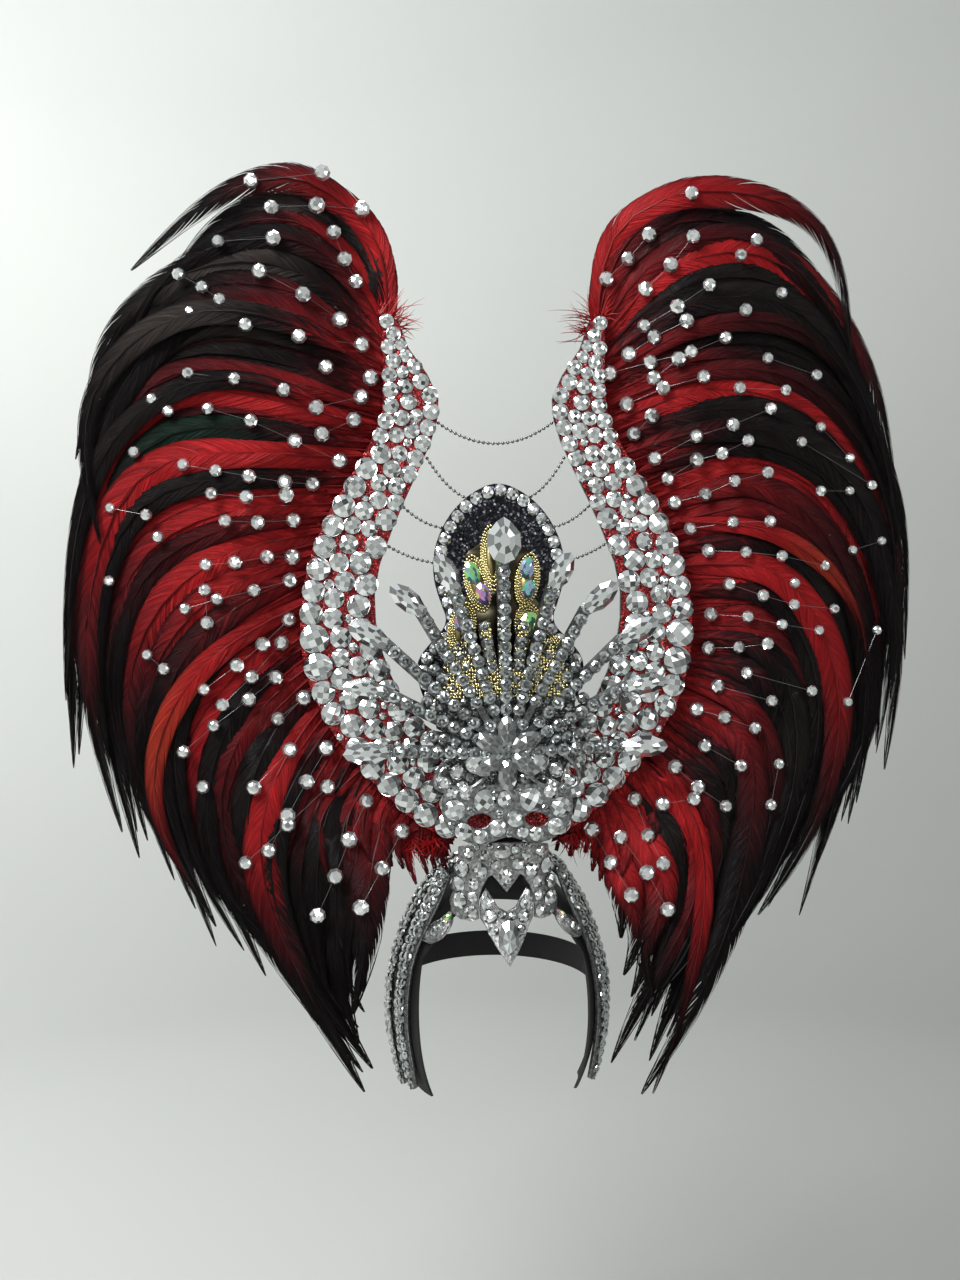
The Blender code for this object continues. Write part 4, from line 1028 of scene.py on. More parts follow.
SMALL_ROUND = stone_form(8, [(1.0, -0.2), (1.0, 0.15), (0.74, 0.72), (0.36, 1.0)])
LARGE_SIDES = 10
LARGE_ROUND = stone_form(LARGE_SIDES, [(1.0, -0.2), (1.0, 0.1), (0.82, 0.52), (0.52, 0.85),
                                       (0.2, 1.0)])
GEM_RINGS = [(0.92, 0.0), (1.0, 0.3), (0.62, 0.84), (0.3, 1.0)]
NAVETTE = stone_form(10, GEM_RINGS, pointed_oval)
TEARDROP = stone_form(10, GEM_RINGS, drop_outline)
PLAIN_DROP = stone_form(10, [(0.92, 0.0), (1.0, 0.25), (0.6, 0.85), (0.12, 1.0)], drop_outline)
PETAL = stone_form(10, [(0.9, 0.0), (1.0, 0.3), (0.62, 0.85), (0.1, 1.0)], pointed_oval)
CHESS_CELLS = 4
CHESS_ROUND = chess_form(CHESS_CELLS)
BEAD = stone_form(6, [(0.7, -0.7), (1.0, 0.0), (0.7, 0.72), (0.3, 0.95)])
BALL = stone_form(8, [(0.35, -0.93), (0.8, -0.6), (1.0, 0.0), (0.8, 0.6), (0.35, 0.93)])


CLEAR = (0.97, 1.0, 1.005)
SILVERY = (0.97, 1.0, 1.0)
SMOKY = (0.96, 1.0, 1.0)


def draw_facets(count, facets, rng, low=0.0):
    """One random number for each facet of each stone"""
    return rng.uniform(low, 1.0, (count, facets.max() + 1))[:, facets]


def coloured(grey, colour):
    """The brightness of each facet in one colour"""
    return grey[..., None, None] * np.array(colour)


def glass_tints(count, facets, checker, rng):
    """Painted reflection of clear foiled stones: a brightness for each facet, chequered and partly
    dark
    """
    grey = np.interp(draw_facets(count, facets, rng), [0.0, 0.1, 0.13, 0.4, 0.45, 1.0],
                     [0.1, 0.35, 0.55, 0.8, 0.92, 1.0])
    return coloured(grey * (1 - 0.2 * checker) * rng.uniform(0.82, 1.0, (count, 1)), CLEAR)


def chess_tints(count, facets, checker, rng):
    """Painted reflection of a chequered stone: squares bright and grey in turn, with a few dark
    ones
    """
    draw = draw_facets(count, facets, rng)
    light = np.interp(draw, [0.0, 0.1, 0.2, 1.0], [0.4, 0.75, 0.9, 1.0])
    grey = np.interp(draw, [0.0, 0.12, 0.2, 0.6, 1.0], [0.1, 0.25, 0.42, 0.6, 0.85])
    light = np.where(checker > 0, grey, light) * rng.uniform(0.9, 1.0, (count, 1))
    # Painted shade: the rim and back facets are darkened
    return coloured(light * np.where(facets >= CHESS_CELLS ** 2, 0.3, 1.0), SILVERY)


def bright_tints(count, facets, checker, rng):
    """Small stones out on their own, painted brighter for the light that they catch from all round
    """
    return glass_tints(count, facets, checker, rng) ** 0.45


def ring_levels(facets, levels):
    """A value for each facet from the ring that it is in, girdle first and table last"""
    return np.array(levels)[np.minimum(facets // (facets.max() // 3), 3)]


def gem_tints(count, facets, checker, rng):
    """Painted reflection of long cut stones: a dark girdle, bright and grey facets in turn and a
    pale table
    """
    draw = 2 * draw_facets(count, facets, rng) - 1
    level = ring_levels(facets, [0.25, 0.95, 0.95, 1.0])
    level = level * (1 - ring_levels(facets, [0, 0.6, 0.72, 0]) * checker) + 0.1 * draw
    return coloured(level.clip(0.08, 1.0), SILVERY)


def flower_tints(count, facets, checker, rng):
    """Painted reflection of the hub flower's petals: a bright rim round grey facets, as of glass
    over stones
    """
    level = ring_levels(facets, [0.9, 0.52, 0.34, 0.8]) * (1 - 0.35 * checker)
    return coloured(level * rng.uniform(0.85, 1.0, (count, 1)), SMOKY)


def petal_tints(count, facets, checker, rng):
    """Painted reflection of clear glass petals: a dark girdle, and long facets that are pale and
    grey in turn
    """
    level = ring_levels(facets, [0.15, 0.9, 1.0, 0.9]) * (1 - 0.45 * checker)
    return coloured(level * rng.uniform(0.85, 1.0, (count, 1)), SMOKY)


def soft_tints(count, facets, _, rng):
    """Painted reflection of small stones that lie close together on foil: grey with a few bright
    facets and a darker girdle
    """
    grey = np.interp(draw_facets(count, facets, rng), [0.0, 0.12, 0.5, 0.85, 1.0],
                     [0.16, 0.3, 0.5, 0.75, 1.0])
    girdle = np.where(facets < LARGE_SIDES, 0.4, 1.0)
    return coloured(grey * rng.uniform(0.7, 1.0, (count, 1)) * girdle, SMOKY)


def cup_tints(count, facets, _, rng):
    """Painted reflection of round stones in silver cups: a bright girdle round a darker crown"""
    draw = draw_facets(count, facets, rng)
    ring = facets // LARGE_SIDES
    level = np.interp(ring, [0, 1, 2, 3, 4], [0.4, 0.8, 0.5, 0.2, 0.6])
    spread = np.interp(ring, [0, 1, 2, 3, 4], [0.2, 0.1, 0.45, 0.7, 0.5])
    grey = level * (1 + spread * np.interp(draw, [0, 0.3, 0.7, 1.0], [-1.0, -0.4, 0.3, 1.0]))
    return coloured((grey * rng.uniform(0.65, 0.95, (count, 1))).clip(0, 1), (0.95, 1.0, 1.01))


def rainbow_tints(count, facets, _, rng):
    """Colours of the facets of stones with a rainbow coat"""
    palette = np.array([(0.95, 0.95, 0.35), (0.45, 0.95, 0.35), (0.30, 0.85, 0.70),
                        (0.55, 0.75, 1.00), (0.65, 0.45, 1.00), (1.00, 0.40, 0.70)])
    start = rng.integers(0, len(palette), (count, 1))
    pick = start + rng.integers(0, 3, (count, facets.max() + 1))[:, facets]
    return palette[pick % len(palette)][:, :, None] * rng.uniform(0.85, 1.0, (count, 1, 1, 1))


def amber_tints(count, facets, _, rng):
    """Facets of amber stones"""
    return coloured(draw_facets(count, facets, rng, 0.5), (0.95, 0.7, 0.25))


def plain_tints(count, facets, _, rng):
    """One slightly different brightness for each bead"""
    return np.broadcast_to(rng.uniform(0.75, 1.0, (count, 1, 1, 1)), (count, len(facets), 1, 3))


def round_size(width, rise):
    """Width, length and height of round stones, whose height is a share of their width"""
    width = np.asarray(width, float).reshape(-1, 1)
    return np.hstack([width, width, width * rise])


def set_stones(shape, form, spots, sizes, rng, normals=(0.0, -1.0, 0.0), leans=None,
               tints=glass_tints, loose=0.0):
    """Sets one form at many places, as width, length and height, square to the normals

    A lean turns a stone clockwise, seen from outside, from upright.  Without a lean every
    stone is turned at random.  Loose stones tip away from their normals by random steps.
    """
    unit_points, faces, facets, checker = form
    spots = np.asarray(spots, float).reshape(-1, 3)
    count = len(spots)
    if not count:
        return
    out = np.broadcast_to(np.asarray(normals, float), (count, 3))
    out = unit(out + rng.normal(0, loose, (count, 3)) if loose else out)
    right = unit(np.cross(np.array([0.0, 0.0, 1.0]), out))
    up = np.cross(out, right)
    if leans is None:
        spin = rng.uniform(0, 2 * np.pi, (count, 1))
    else:
        spin = -np.radians(np.broadcast_to(leans, (count,)).astype(float))[:, None]
    frame_of_stone = np.stack([right * np.cos(spin) + up * np.sin(spin),
                               up * np.cos(spin) - right * np.sin(spin), out], 1)
    local = unit_points * (np.broadcast_to(sizes, (count, 3)) / [2, 2, 1])[:, None]
    every = (faces + np.arange(count)[:, None, None] * len(unit_points)).reshape(-1, 3)
    shape.add(spots[:, None] + local @ frame_of_stone, every,
              tints(count, facets, checker, rng).reshape(-1, 1, 3))


def set_rounds(shape, spots, widths, rise, facing, small_painted_glints, rng, loose=0.0):
    """Sets round stones, of which the wide ones are chequered and the others ringed"""
    wide = widths > CHEQUERED_FROM
    for form, pick, tints in ((CHESS_ROUND, wide, chess_tints),
                              (LARGE_ROUND, ~wide, small_painted_glints)):
        set_stones(shape, form, spots[pick], round_size(widths[pick], rise), rng, facing[pick],
                   tints=tints, loose=loose)


def front_of(spots, depth):
    """Places on an upright plane at a depth"""
    spots = np.asarray(spots, float).reshape(-1, 2)
    return np.stack([spots[:, 0], np.full(len(spots), depth), spots[:, 1]], -1)


def signed_area(corners):
    """Twice the area of polygons from their corners, above 0 where they turn to the left"""
    x, z = np.moveaxis(corners, -1, 0)
    return (x * np.roll(z, -1, -1) - np.roll(x, -1, -1) * z).sum()


def cut_plate(shape, outlines, front, back, bevel=0.5, tint=(1.0, 1.0, 1.0)):
    """A flat plate cut to closed outlines, the first outside and the others holes

    Its walls run from the back to a bevel, and the front is the outline moved in by it.  A
    hole's outline runs the other way round from the outer one.
    """
    tops = [inset(outline, -bevel if number else bevel)
            for number, outline in enumerate(outlines)]
    starts = np.cumsum([0] + [3 * len(outline) for outline in outlines])
    levels = (outlines, back), (outlines, front + bevel), (tops, front)
    points = np.vstack([front_of(rings[number], depth)
                        for number in range(len(outlines)) for rings, depth in levels])
    faces = [grid_faces(3, len(outline), closed=True) + start
             for outline, start in zip(outlines, starts)]
    loops = [[Vector((x, z, 0)) for x, z in outline] for outline in outlines]
    picks = np.array(tessellate_polygon(loops))
    if signed_area(np.vstack(outlines)[picks]) * signed_area(outlines[0]) < 0:
        picks = picks[:, ::-1]
    for level, turn in ((0, -1), (2, 1)):
        numbers = np.concatenate([start + level * len(outline) + np.arange(len(outline))
                                  for outline, start in zip(outlines, starts)])
        faces.append(numbers[picks[:, ::turn]])
    shape.add(points, [np.vstack(faces[:len(outlines)]), np.vstack(faces[len(outlines):])], tint)


def ribbon_plate(shape, outer, inner, front, back, stations=120, columns=4, edge_tint=None):
    """A plate between two edges, whose front and back depths follow the place

    Across it runs a profile with rounded corners; its ends are closed.
    """
    shares = np.linspace(0.0, 1.0, stations)
    start, end = along(outer, shares), along(inner, shares)
    wide = np.sqrt(((end - start) ** 2).sum(1)).clip(0.5)[:, None]
    lip = np.minimum(0.7 / wide, 0.3)
    top = lip + (1 - 2 * lip) * np.linspace(0, 1, columns + 1)
    ones = np.ones_like(wide)
    across = np.hstack([0 * ones, 0 * ones, top, ones, ones, top[:, ::-1]])
    high = np.array([0, 0.75] + [1.0] * (columns + 1) + [0.75, 0] + [0.0] * (columns + 1))
    x, z = np.moveaxis(start[:, None] + (end - start)[:, None] * across[..., None], -1, 0)
    points = np.stack([x, back(x, z) + (front(x, z) - back(x, z)) * high, z], -1)
    size = across.shape[1]
    faces = ring_faces(stations, size)
    colour = np.ones((len(faces), 4, 3))
    if edge_tint is not None:
        walls = np.arange((stations - 1) * size).reshape(-1, size)
        colour[walls[:, columns + 2:columns + 4]] = edge_tint
    shape.add(points, faces, colour)


def tube(shape, line, radius, tint=(1.0, 1.0, 1.0), sides=5):
    """A round tube of one or many radii along a line, closed at both ends"""
    line = np.asarray(line, float)
    run = unit(np.gradient(line, axis=0))
    aside = unit(np.cross(run, np.array([0.12, 0.91, 0.39])))
    lift = np.cross(run, aside)
    turn = 2 * np.pi * np.arange(sides)[:, None] / sides
    ring = aside[:, None] * np.cos(turn) + lift[:, None] * np.sin(turn)
    points = line[:, None] + ring * np.broadcast_to(radius, (len(line),))[:, None, None]
    count = len(line) * sides
    step = np.arange(sides)
    ahead = (step + 1) % sides
    last = count - sides
    ends = np.vstack([np.stack([ahead, step, np.full(sides, count)], -1),
                      np.stack([step + last, ahead + last, np.full(sides, count + 1)], -1)])
    shape.add(np.vstack([points.reshape(-1, 3), line[:1], line[-1:]]),
              [grid_faces(len(line), sides, closed=True), ends], tint)


def panel_stones():
    """Places of the stones of one panel: an outer, an inner and one or two middle rows"""
    shares, *rows = np.array(PANEL_STONES).T
    length = walk(np.array(PANEL_OUTER, float))[1]
    placed = []
    for row, share in ROW_STARTS.items():
        while share < ROW_END:
            rim = along(PANEL_OUTER, share)
            lip = along(PANEL_INNER, share)
            wide = np.hypot(*(lip - rim))
            big, size, small = (np.interp(share, shares, row_sizes) for row_sizes in rows)
            core = wide - big - small - 2 * STONE_EDGE
            at = STONE_EDGE + big
            if row == "outer":
                size, at = big, STONE_EDGE + big / 2
            elif row == "inner":
                size, at = small, wide - STONE_EDGE - small / 2
            elif row == "middle":
                at += core * (0.5 if core < 2 * size else FIRST_MIDDLE)
            else:
                at += core * SECOND_MIDDLE
                size = 0.0 if core < 2 * size else size
            spot = rim + (lip - rim) / wide * at
            room = min((np.hypot(*(spot - other[:2])) - other[2] / 2 for other in placed),
                       default=FAR) - STONE_SPACE
            if size > 0 and room < size / 2:
                size = 2 * room if 2 * room > LEAST_GROWTH * size else 0.0
            if size > 0:
                placed.append(np.array([spot[0], spot[1], size]))
                share += (size + STONE_SPACE) * 0.5 / length
            share += ROW_STEP
    return np.array(placed)


def head_point(angle, height, offset):
    """A point off the head at an angle from the front and a height, for arrays too"""
    angle = np.radians(angle)
    power = 2.0 + HEAD_BOXY * np.cos(angle) ** 2
    level = np.clip(np.abs(height + HEAD_HIGH) / (HEAD_HIGH + offset), 0.0, 1.0)
    shrink = (1.0 - level ** power) ** (1.0 / power)
    x = (HEAD_WIDE + offset) * shrink * np.sin(angle)
    y = HEAD_MID_Y - (HEAD_DEEP + offset) * shrink * np.cos(angle)
    return np.stack(np.broadcast_arrays(x, y, height), -1)


def head_normals(points):
    """Directions straight out of the head at points near it"""
    return unit((points - np.array([0, HEAD_MID_Y, -HEAD_HIGH]))
                / np.array([HEAD_WIDE, HEAD_DEEP, HEAD_HIGH]) ** 2)


def surface_depth(x, z, offset):
    """Depth of the head's front at a place seen from the front"""
    wide = (x / (HEAD_WIDE + offset)) ** 2
    high = ((z + HEAD_HIGH) / (HEAD_HIGH + offset)) ** 2
    return HEAD_MID_Y - (HEAD_DEEP + offset) * np.sqrt(np.maximum(1.0 - wide - high, 0.0))


def bridge_depth(x, z):
    """Depth of the back of the brow pieces: upright above, leaning out to the pendant"""
    lean = np.maximum(0.0, 12.0 - z) * 0.06 + np.maximum(0.0, -34.0 - z) * 0.28
    return -60.0 - lean + x * x / BROW_CURVE


def brow_front(x, z):
    """Depth of the front of the brow pieces"""
    return bridge_depth(x, z) - BROW_THICK


def band_frame(table, side, count):
    """Centres, outward and sideways directions, widths and length along a band"""
    rows = np.array(table, float) * ([side] + [1] * (len(table[0]) - 1))
    walked, length = walk(rows[:, :3])
    shares = np.linspace(0, 1, count)
    line = smooth_line(rows[:, :3], shares)
    out = head_normals(line)
    across = unit(np.cross(unit(np.gradient(line, axis=0)), out))
    return line, out, across, np.interp(shares, walked, rows[:, 3])[:, None], length


def band_body(shape, band, thick, half_profile):
    """A band whose section is a profile of shares of its width and thickness"""
    line, out, across, widths, _ = band
    right = np.array(half_profile)
    profile = np.vstack([right, (right * (-1, 1))[::-1]])
    ring = (line[:, None] + across[:, None] * widths[:, None] * profile[:, :1]
            + out[:, None] * thick * profile[:, 1:])
    shape.add(ring, ring_faces(len(line), len(profile)))


def feed(socket, value):
    """Sets a socket to a value, or joins it to the output socket that feeds it"""
    if isinstance(value, bpy.types.NodeSocket):
        socket.id_data.links.new(value, socket)
    else:
        socket.default_value = value


def add_node(tree, kind, **values):
    """A node with its settings, and what its sockets hold or what feeds them, by name"""
    node = tree.nodes.new(kind)
    for key, value in values.items():
        if hasattr(node, key):
            setattr(node, key, value)
        else:
            feed(node.inputs[key.replace("_", " ")], value)
    return node


def vector_math(tree, operation, first, second=(0.0, 0.0, 0.0)):
    """One sum on vectors"""
    node = add_node(tree, "ShaderNodeVectorMath", operation=operation)
    feed(node.inputs[0], first)
    feed(node.inputs[1], second)
    return node.outputs["Vector"]


def map_range(tree, value, low, high, start, end):
    """A value's range from low to high turned into the one from start to end, and held there"""
    return add_node(tree, "ShaderNodeMapRange", Value=value, From_Min=low, From_Max=high,
                    To_Min=start, To_Max=end).outputs["Result"]


def mix(tree, kind, first, second, share=1.0):
    """Two colours mixed, multiplied or added"""
    return add_node(tree, "ShaderNodeMix", data_type="RGBA", blend_type=kind, Factor=share,
                    A=first, B=second).outputs["Result"]


def tint_of(tree):
    """The tint that the mesh carries on its corners"""
    return add_node(tree, "ShaderNodeAttribute", attribute_name="tint").outputs["Color"]


def place_of(tree):
    """The place on the object, in metres"""
    return add_node(tree, "ShaderNodeTexCoord").outputs["Object"]


def make_group(name, inputs, outputs):
    """A node group with named sockets: a number, three for a vector or four for a colour"""
    tree = bpy.data.node_groups.new(name, "ShaderNodeTree")
    for way, sockets in (("INPUT", inputs), ("OUTPUT", outputs)):
        for title, value in sockets.items():
            kind = {1: "NodeSocketFloat", 3: "NodeSocketVector", 4: "NodeSocketColor"}
            tree.interface.new_socket(title.replace("_", " "), in_out=way,
                                      socket_type=kind[np.size(value)]).default_value = value
    return tree, tree.nodes.new("NodeGroupInput").outputs, tree.nodes.new("NodeGroupOutput").inputs


def place_group(tree, build, **values):
    """Puts a node group into a tree with its own values, and builds it on its first use"""
    group = bpy.data.node_groups.get(build.__name__) or build(build.__name__)
    return add_node(tree, "ShaderNodeGroup", node_tree=group, **values).outputs


def surface_grain(name):
    """Noise as a grain, a shade that follows it and a normal that it raises"""
    tree, given, put = make_group(
        name, {"Vector": (0, 0, 0), "Scale": 1.0, "Detail": 2.0, "Roughness": 0.5,
               "From_Min": 0.0, "From_Max": 1.0, "To_Min": 0.0, "To_Max": 1.0,
               "Relief": 1.0, "Distance": 0.001},
        {"Grain": 0.0, "Shade": 0.0, "Normal": (0, 0, 1)})
    grain = add_node(tree, "ShaderNodeTexNoise", Vector=given["Vector"], Scale=given["Scale"],
                     Detail=given["Detail"], Roughness=given["Roughness"]).outputs["Fac"]
    feed(put["Grain"], grain)
    feed(put["Shade"], map_range(tree, grain, given["From Min"], given["From Max"],
                                 given["To Min"], given["To Max"]))
    feed(put["Normal"], add_node(tree, "ShaderNodeBump", Strength=given["Relief"],
                                 Distance=given["Distance"], Height=grain).outputs["Normal"])
    return tree


def glitter_flakes(name):
    """Flakes of random lean, bright ones above a threshold and dark ones below it"""
    tree, given, put = make_group(
        name, {"Vector": (0, 0, 0), "Normal": (0, 0, 1), "Scale": 1100.0, "Threshold": 0.7,
               "Dark": (0, 0, 0, 1), "Bright": (1, 1, 1, 1)},
        {"Color": (0, 0, 0, 1), "Normal": (0, 0, 1)})
    flakes = add_node(tree, "ShaderNodeTexVoronoi", Vector=given["Vector"],
                      Scale=given["Scale"]).outputs["Color"]
    lean = vector_math(tree, "SUBTRACT", flakes, (0.5, 0.5, 0.5))
    lean = vector_math(tree, "MULTIPLY", lean, (0.9, 0.9, 0.9))
    total = vector_math(tree, "ADD", lean, given["Normal"])
    feed(put["Normal"], vector_math(tree, "NORMALIZE", total))
    draw = add_node(tree, "ShaderNodeSeparateColor", Color=flakes).outputs["Red"]
    bright = map_range(tree, draw, given["Threshold"], 1.0, 0.0, 1.0)
    feed(put["Color"], mix(tree, "MIX", given["Dark"], given["Bright"], bright))
    return tree


def shared(build):
    """Lets a function make its material on the first use, and gives the same one afterwards

    The function's name is the material's, and isn't the name of a slot of the frame.
    """
    def look_up():
        return bpy.data.materials.get(build.__name__) or build(build.__name__)
    return look_up


def new_material(name, **values):
    """A material, its tree and the sockets of its Principled shader, with plain values set"""
    material = bpy.data.materials.new(name)
    material.use_nodes = True
    sockets = material.node_tree.nodes["Principled BSDF"].inputs
    for key, value in values.items():
        feed(sockets[key.replace("_", " ")], value)
    return material, material.node_tree, sockets


@shared
def dyed_feather(name):
    """Dyed feather: the tint, streaked along the barbs, with painted sheen added on the brightest
    streaks, and a fine barb relief
    """
    material, tree, shader = new_material(name, Roughness=0.34, Specular_IOR_Level=0.085)
    place = add_node(tree, "ShaderNodeUVMap", uv_map="place").outputs["UV"]
    drawn_out = add_node(tree, "ShaderNodeMapping", Vector=place, Scale=(0.75, 0.05, 1.0))
    streak = place_group(tree, surface_grain, Vector=drawn_out.outputs["Vector"], Detail=4.0,
                         Roughness=0.7, From_Min=0.3, From_Max=0.7, To_Min=0.5, To_Max=1.5,
                         Relief=0.9, Distance=0.0012)
    # Painted sheen: a little grey added to the colour where the streak grain is high, for gloss
    # along the barbs
    painted_streak_sheen = map_range(tree, streak["Grain"], 0.55, 0.75, 0.0, 0.018)
    dye = mix(tree, "MULTIPLY", tint_of(tree), streak["Shade"])
    feed(shader["Base Color"], mix(tree, "ADD", dye, painted_streak_sheen))
    feed(shader["Normal"], streak["Normal"])
    return material


@shared
def cut_glass(name):
    """Foiled cut glass: every facet mirrors with the brightness that it carries, a painted
    reflection of bright and dark facets
    """
    material, tree, shader = new_material(name, Roughness=0.09, Metallic=0.9)
    feed(shader["Base Color"], tint_of(tree))
    return material


@shared
def silver_setting(name):
    """Crinkled silver foil and wire between the stones"""
    material, tree, shader = new_material(name, Roughness=0.32, Metallic=0.9)
    foil = place_group(tree, surface_grain, Vector=place_of(tree), Scale=420.0, Detail=3.0,
                       Roughness=0.6, From_Min=0.3, From_Max=0.7, To_Min=0.1, To_Max=0.45,
                       Relief=0.6, Distance=0.0008)
    feed(shader["Base Color"], mix(tree, "MULTIPLY", foil["Shade"], tint_of(tree)))
    feed(shader["Normal"], foil["Normal"])
    return material


def glitter(name, **values):
    """Glitter of flakes with their own colours, under the tint"""
    material, tree, shader = new_material(name, Roughness=0.3, Metallic=0.55)
    surface = add_node(tree, "ShaderNodeNewGeometry").outputs["Normal"]
    flakes = place_group(tree, glitter_flakes, Vector=place_of(tree), Normal=surface, **values)
    feed(shader["Base Color"], mix(tree, "MULTIPLY", flakes["Color"], tint_of(tree)))
    feed(shader["Normal"], flakes["Normal"])
    return material


@shared
def panel_glitter(name):
    """Red glitter foam of the panels"""
    colours = bpy.context.scene.headdress
    return glitter(name, Threshold=0.7, Dark=(*colours.panel_dark, 1),
                   Bright=(*colours.panel_bright, 1))


@shared
def medallion_glitter(name):
    """Black glitter of the medallion, with few bright flakes"""
    return glitter(name, Threshold=0.94, Scale=800.0, Dark=(0.003, 0.003, 0.006, 1),
                   Bright=(0.42, 0.42, 0.55, 1))


@shared
def dark_backing(name):
    """Dark foil behind the spray's stones"""
    return glitter(name, Threshold=0.75, Scale=900.0, Dark=(0.02, 0.02, 0.022, 1),
                   Bright=(0.5, 0.52, 0.5, 1))


@shared
def gilt_beads(name):
    """Gilt beads"""
    material, tree, shader = new_material(name, Roughness=0.22, Metallic=1.0)
    gilt = (*bpy.context.scene.headdress.gilt, 1)
    feed(shader["Base Color"], mix(tree, "MULTIPLY", tint_of(tree), gilt))
    return material


@shared
def felt(name):
    """Black felt with a faint nap"""
    material, tree, shader = new_material(name, Roughness=0.95)
    nap = place_group(tree, surface_grain, Vector=place_of(tree), Scale=900.0, Detail=4.0,
                      Roughness=0.7, To_Min=0.006, To_Max=0.03, Relief=0.5, Distance=0.0005)
    feed(shader["Base Color"], nap["Shade"])
    feed(shader["Normal"], nap["Normal"])
    return material


@shared
def ball_chain(name):
    """Ball chain steel, with wear in patches"""
    material, tree, shader = new_material(name, Roughness=0.25, Metallic=1.0)
    wear = place_group(tree, surface_grain, Vector=place_of(tree), Scale=300.0, To_Min=0.1,
                       To_Max=0.3)
    feed(shader["Base Color"], wear["Shade"])
    return material


@shared
def clear_thread(name):
    """Clear nylon thread"""
    material, tree, shader = new_material(name, Roughness=0.2)
    feed(shader["Base Color"], tint_of(tree))
    return material


@shared
def pale_floor(name):
    """Pale paint with a faint mottle, and painted shade that makes it darker to the right and near
    the ground
    """
    material, tree, shader = new_material(name, Roughness=0.85)
    place = place_of(tree)
    mottle = place_group(tree, surface_grain, Vector=place, Scale=1.4)["Grain"]
    paint = mix(tree, "MIX", (0.84, 0.86, 0.83, 1.0), (0.90, 0.92, 0.89, 1.0), mottle)
    apart = add_node(tree, "ShaderNodeSeparateXYZ", Vector=place).outputs
    # Painted shade: the paint is darkened to the right and towards the ground
    painted_shade = add_node(tree, "ShaderNodeMath", operation="MULTIPLY")
    feed(painted_shade.inputs[0], map_range(tree, apart["X"], -0.95, 1.8, 1.0, 0.6))
    feed(painted_shade.inputs[1], map_range(tree, apart["Z"], -0.56, 2.0, 0.52, 1.0))
    feed(shader["Base Color"], mix(tree, "MULTIPLY", paint, painted_shade.outputs["Value"]))
    return material


class HeaddressSettings(bpy.types.PropertyGroup):
    """Sizes and colours that a user would change"""

    lock_step: FloatProperty(
        name="Lock Step", description="Distance between barb locks along a shaft",
        default=3.4 * MM, min=2.0 * MM, max=12.0 * MM, precision=5, unit="LENGTH")
    gilt: FloatVectorProperty(
        name="Gilt", description="Colour of the gilt beads", default=(0.88, 0.78, 0.42),
        min=0.0, max=1.0, subtype="COLOR")
    panel_bright: FloatVectorProperty(
        name="Panel Bright", description="Colour of the bright flakes of the panels' glitter",
        default=(0.9, 0.06, 0.05), min=0.0, max=1.0, subtype="COLOR")
    panel_dark: FloatVectorProperty(
        name="Panel Dark", description="Colour of the dark flakes of the panels' glitter",
        default=(0.10, 0.002, 0.005), min=0.0, max=1.0, subtype="COLOR")
    seed: IntProperty(
        name="Seed", description="Start of the random draws", default=11)


def draws(step):
    """Random draws of their own for one piece or group"""
    return np.random.default_rng(bpy.context.scene.headdress.seed + step)


class HEADDRESS_OT_feathers(bpy.types.Operator):
    """Make the ten banks of feathers"""

    bl_idname = "headdress.feathers"
    bl_label = "Feathers"

    def execute(self, context):
        material = dyed_feather()
        wings = ((-1, "left", LEFT_GUIDES, LEFT_KINDS), (1, "right", RIGHT_GUIDES, RIGHT_KINDS))
        for side, prefix, table, kinds in wings:
            rng = draws(side)
            feathers = wing_feathers(table, kinds, rng)
            for bank, title in enumerate(BANKS):
                shape = Shape()
                low, high = bank / len(BANKS), (bank + 1) / len(BANKS)
                for share, layer, kind, wide, keep in feathers:
                    if low <= share < high or (share == 1.0 and bank == len(BANKS) - 1):
                        knots = guide(table, share, rng)
                        make_vane(shape, knots, layer, side, kind, wide, rng, keep)
                roots = [row[0] for row in table]
                top, bottom = along_rows(roots, np.array([low, high]))
                make_backing(shape, top - BACKING_SPACE, bottom + BACKING_SPACE, side)
                make_down(shape, top, bottom, side, rng)
                if bank == 0:
                    make_fluff(shape, TIP_FLUFF, side, rng)
                if bank == len(BANKS) - 1:
                    make_fluff(shape, BASE_FLUFF, side, rng)
                    make_hackles(shape, side, HACKLE_KINDS[prefix], rng)
                for at_side, at_bank, kind, wide, layer, knots in FRONT_FEATHERS:
                    if (at_side, at_bank) == (side, bank):
                        make_vane(shape, knots, layer, side, kind, wide, rng)
                shape.make(f"{prefix}_{title}_plumes", material,
                           [f"{prefix}_{title}_feathers"])
        return {"FINISHED"}


class HEADDRESS_OT_cage(bpy.types.Operator):
    """Make the lining, the strap, the arms and the curl leaves, and give the bracket felt"""

    bl_idname = "headdress.cage"
    bl_label = "Cage"

    def execute(self, context):
        rng = draws(20)
        cloth = felt()
        make_lining(cloth)
        make_strap(cloth)
        bpy.data.objects["support_bracket"].data.materials.clear()
        bpy.data.objects["support_bracket"].data.materials.append(cloth)
        setting, glass = silver_setting(), cut_glass()
        for side, prefix in SIDES:
            for title, table in (("outer", OUTER_ARM), ("inner", INNER_ARM)):
                make_arm(f"{prefix}_{title}_arm", table, side, setting, glass, rng)
            make_curl(f"{prefix}_curl_leaf", side, setting, glass, rng)
        return {"FINISHED"}


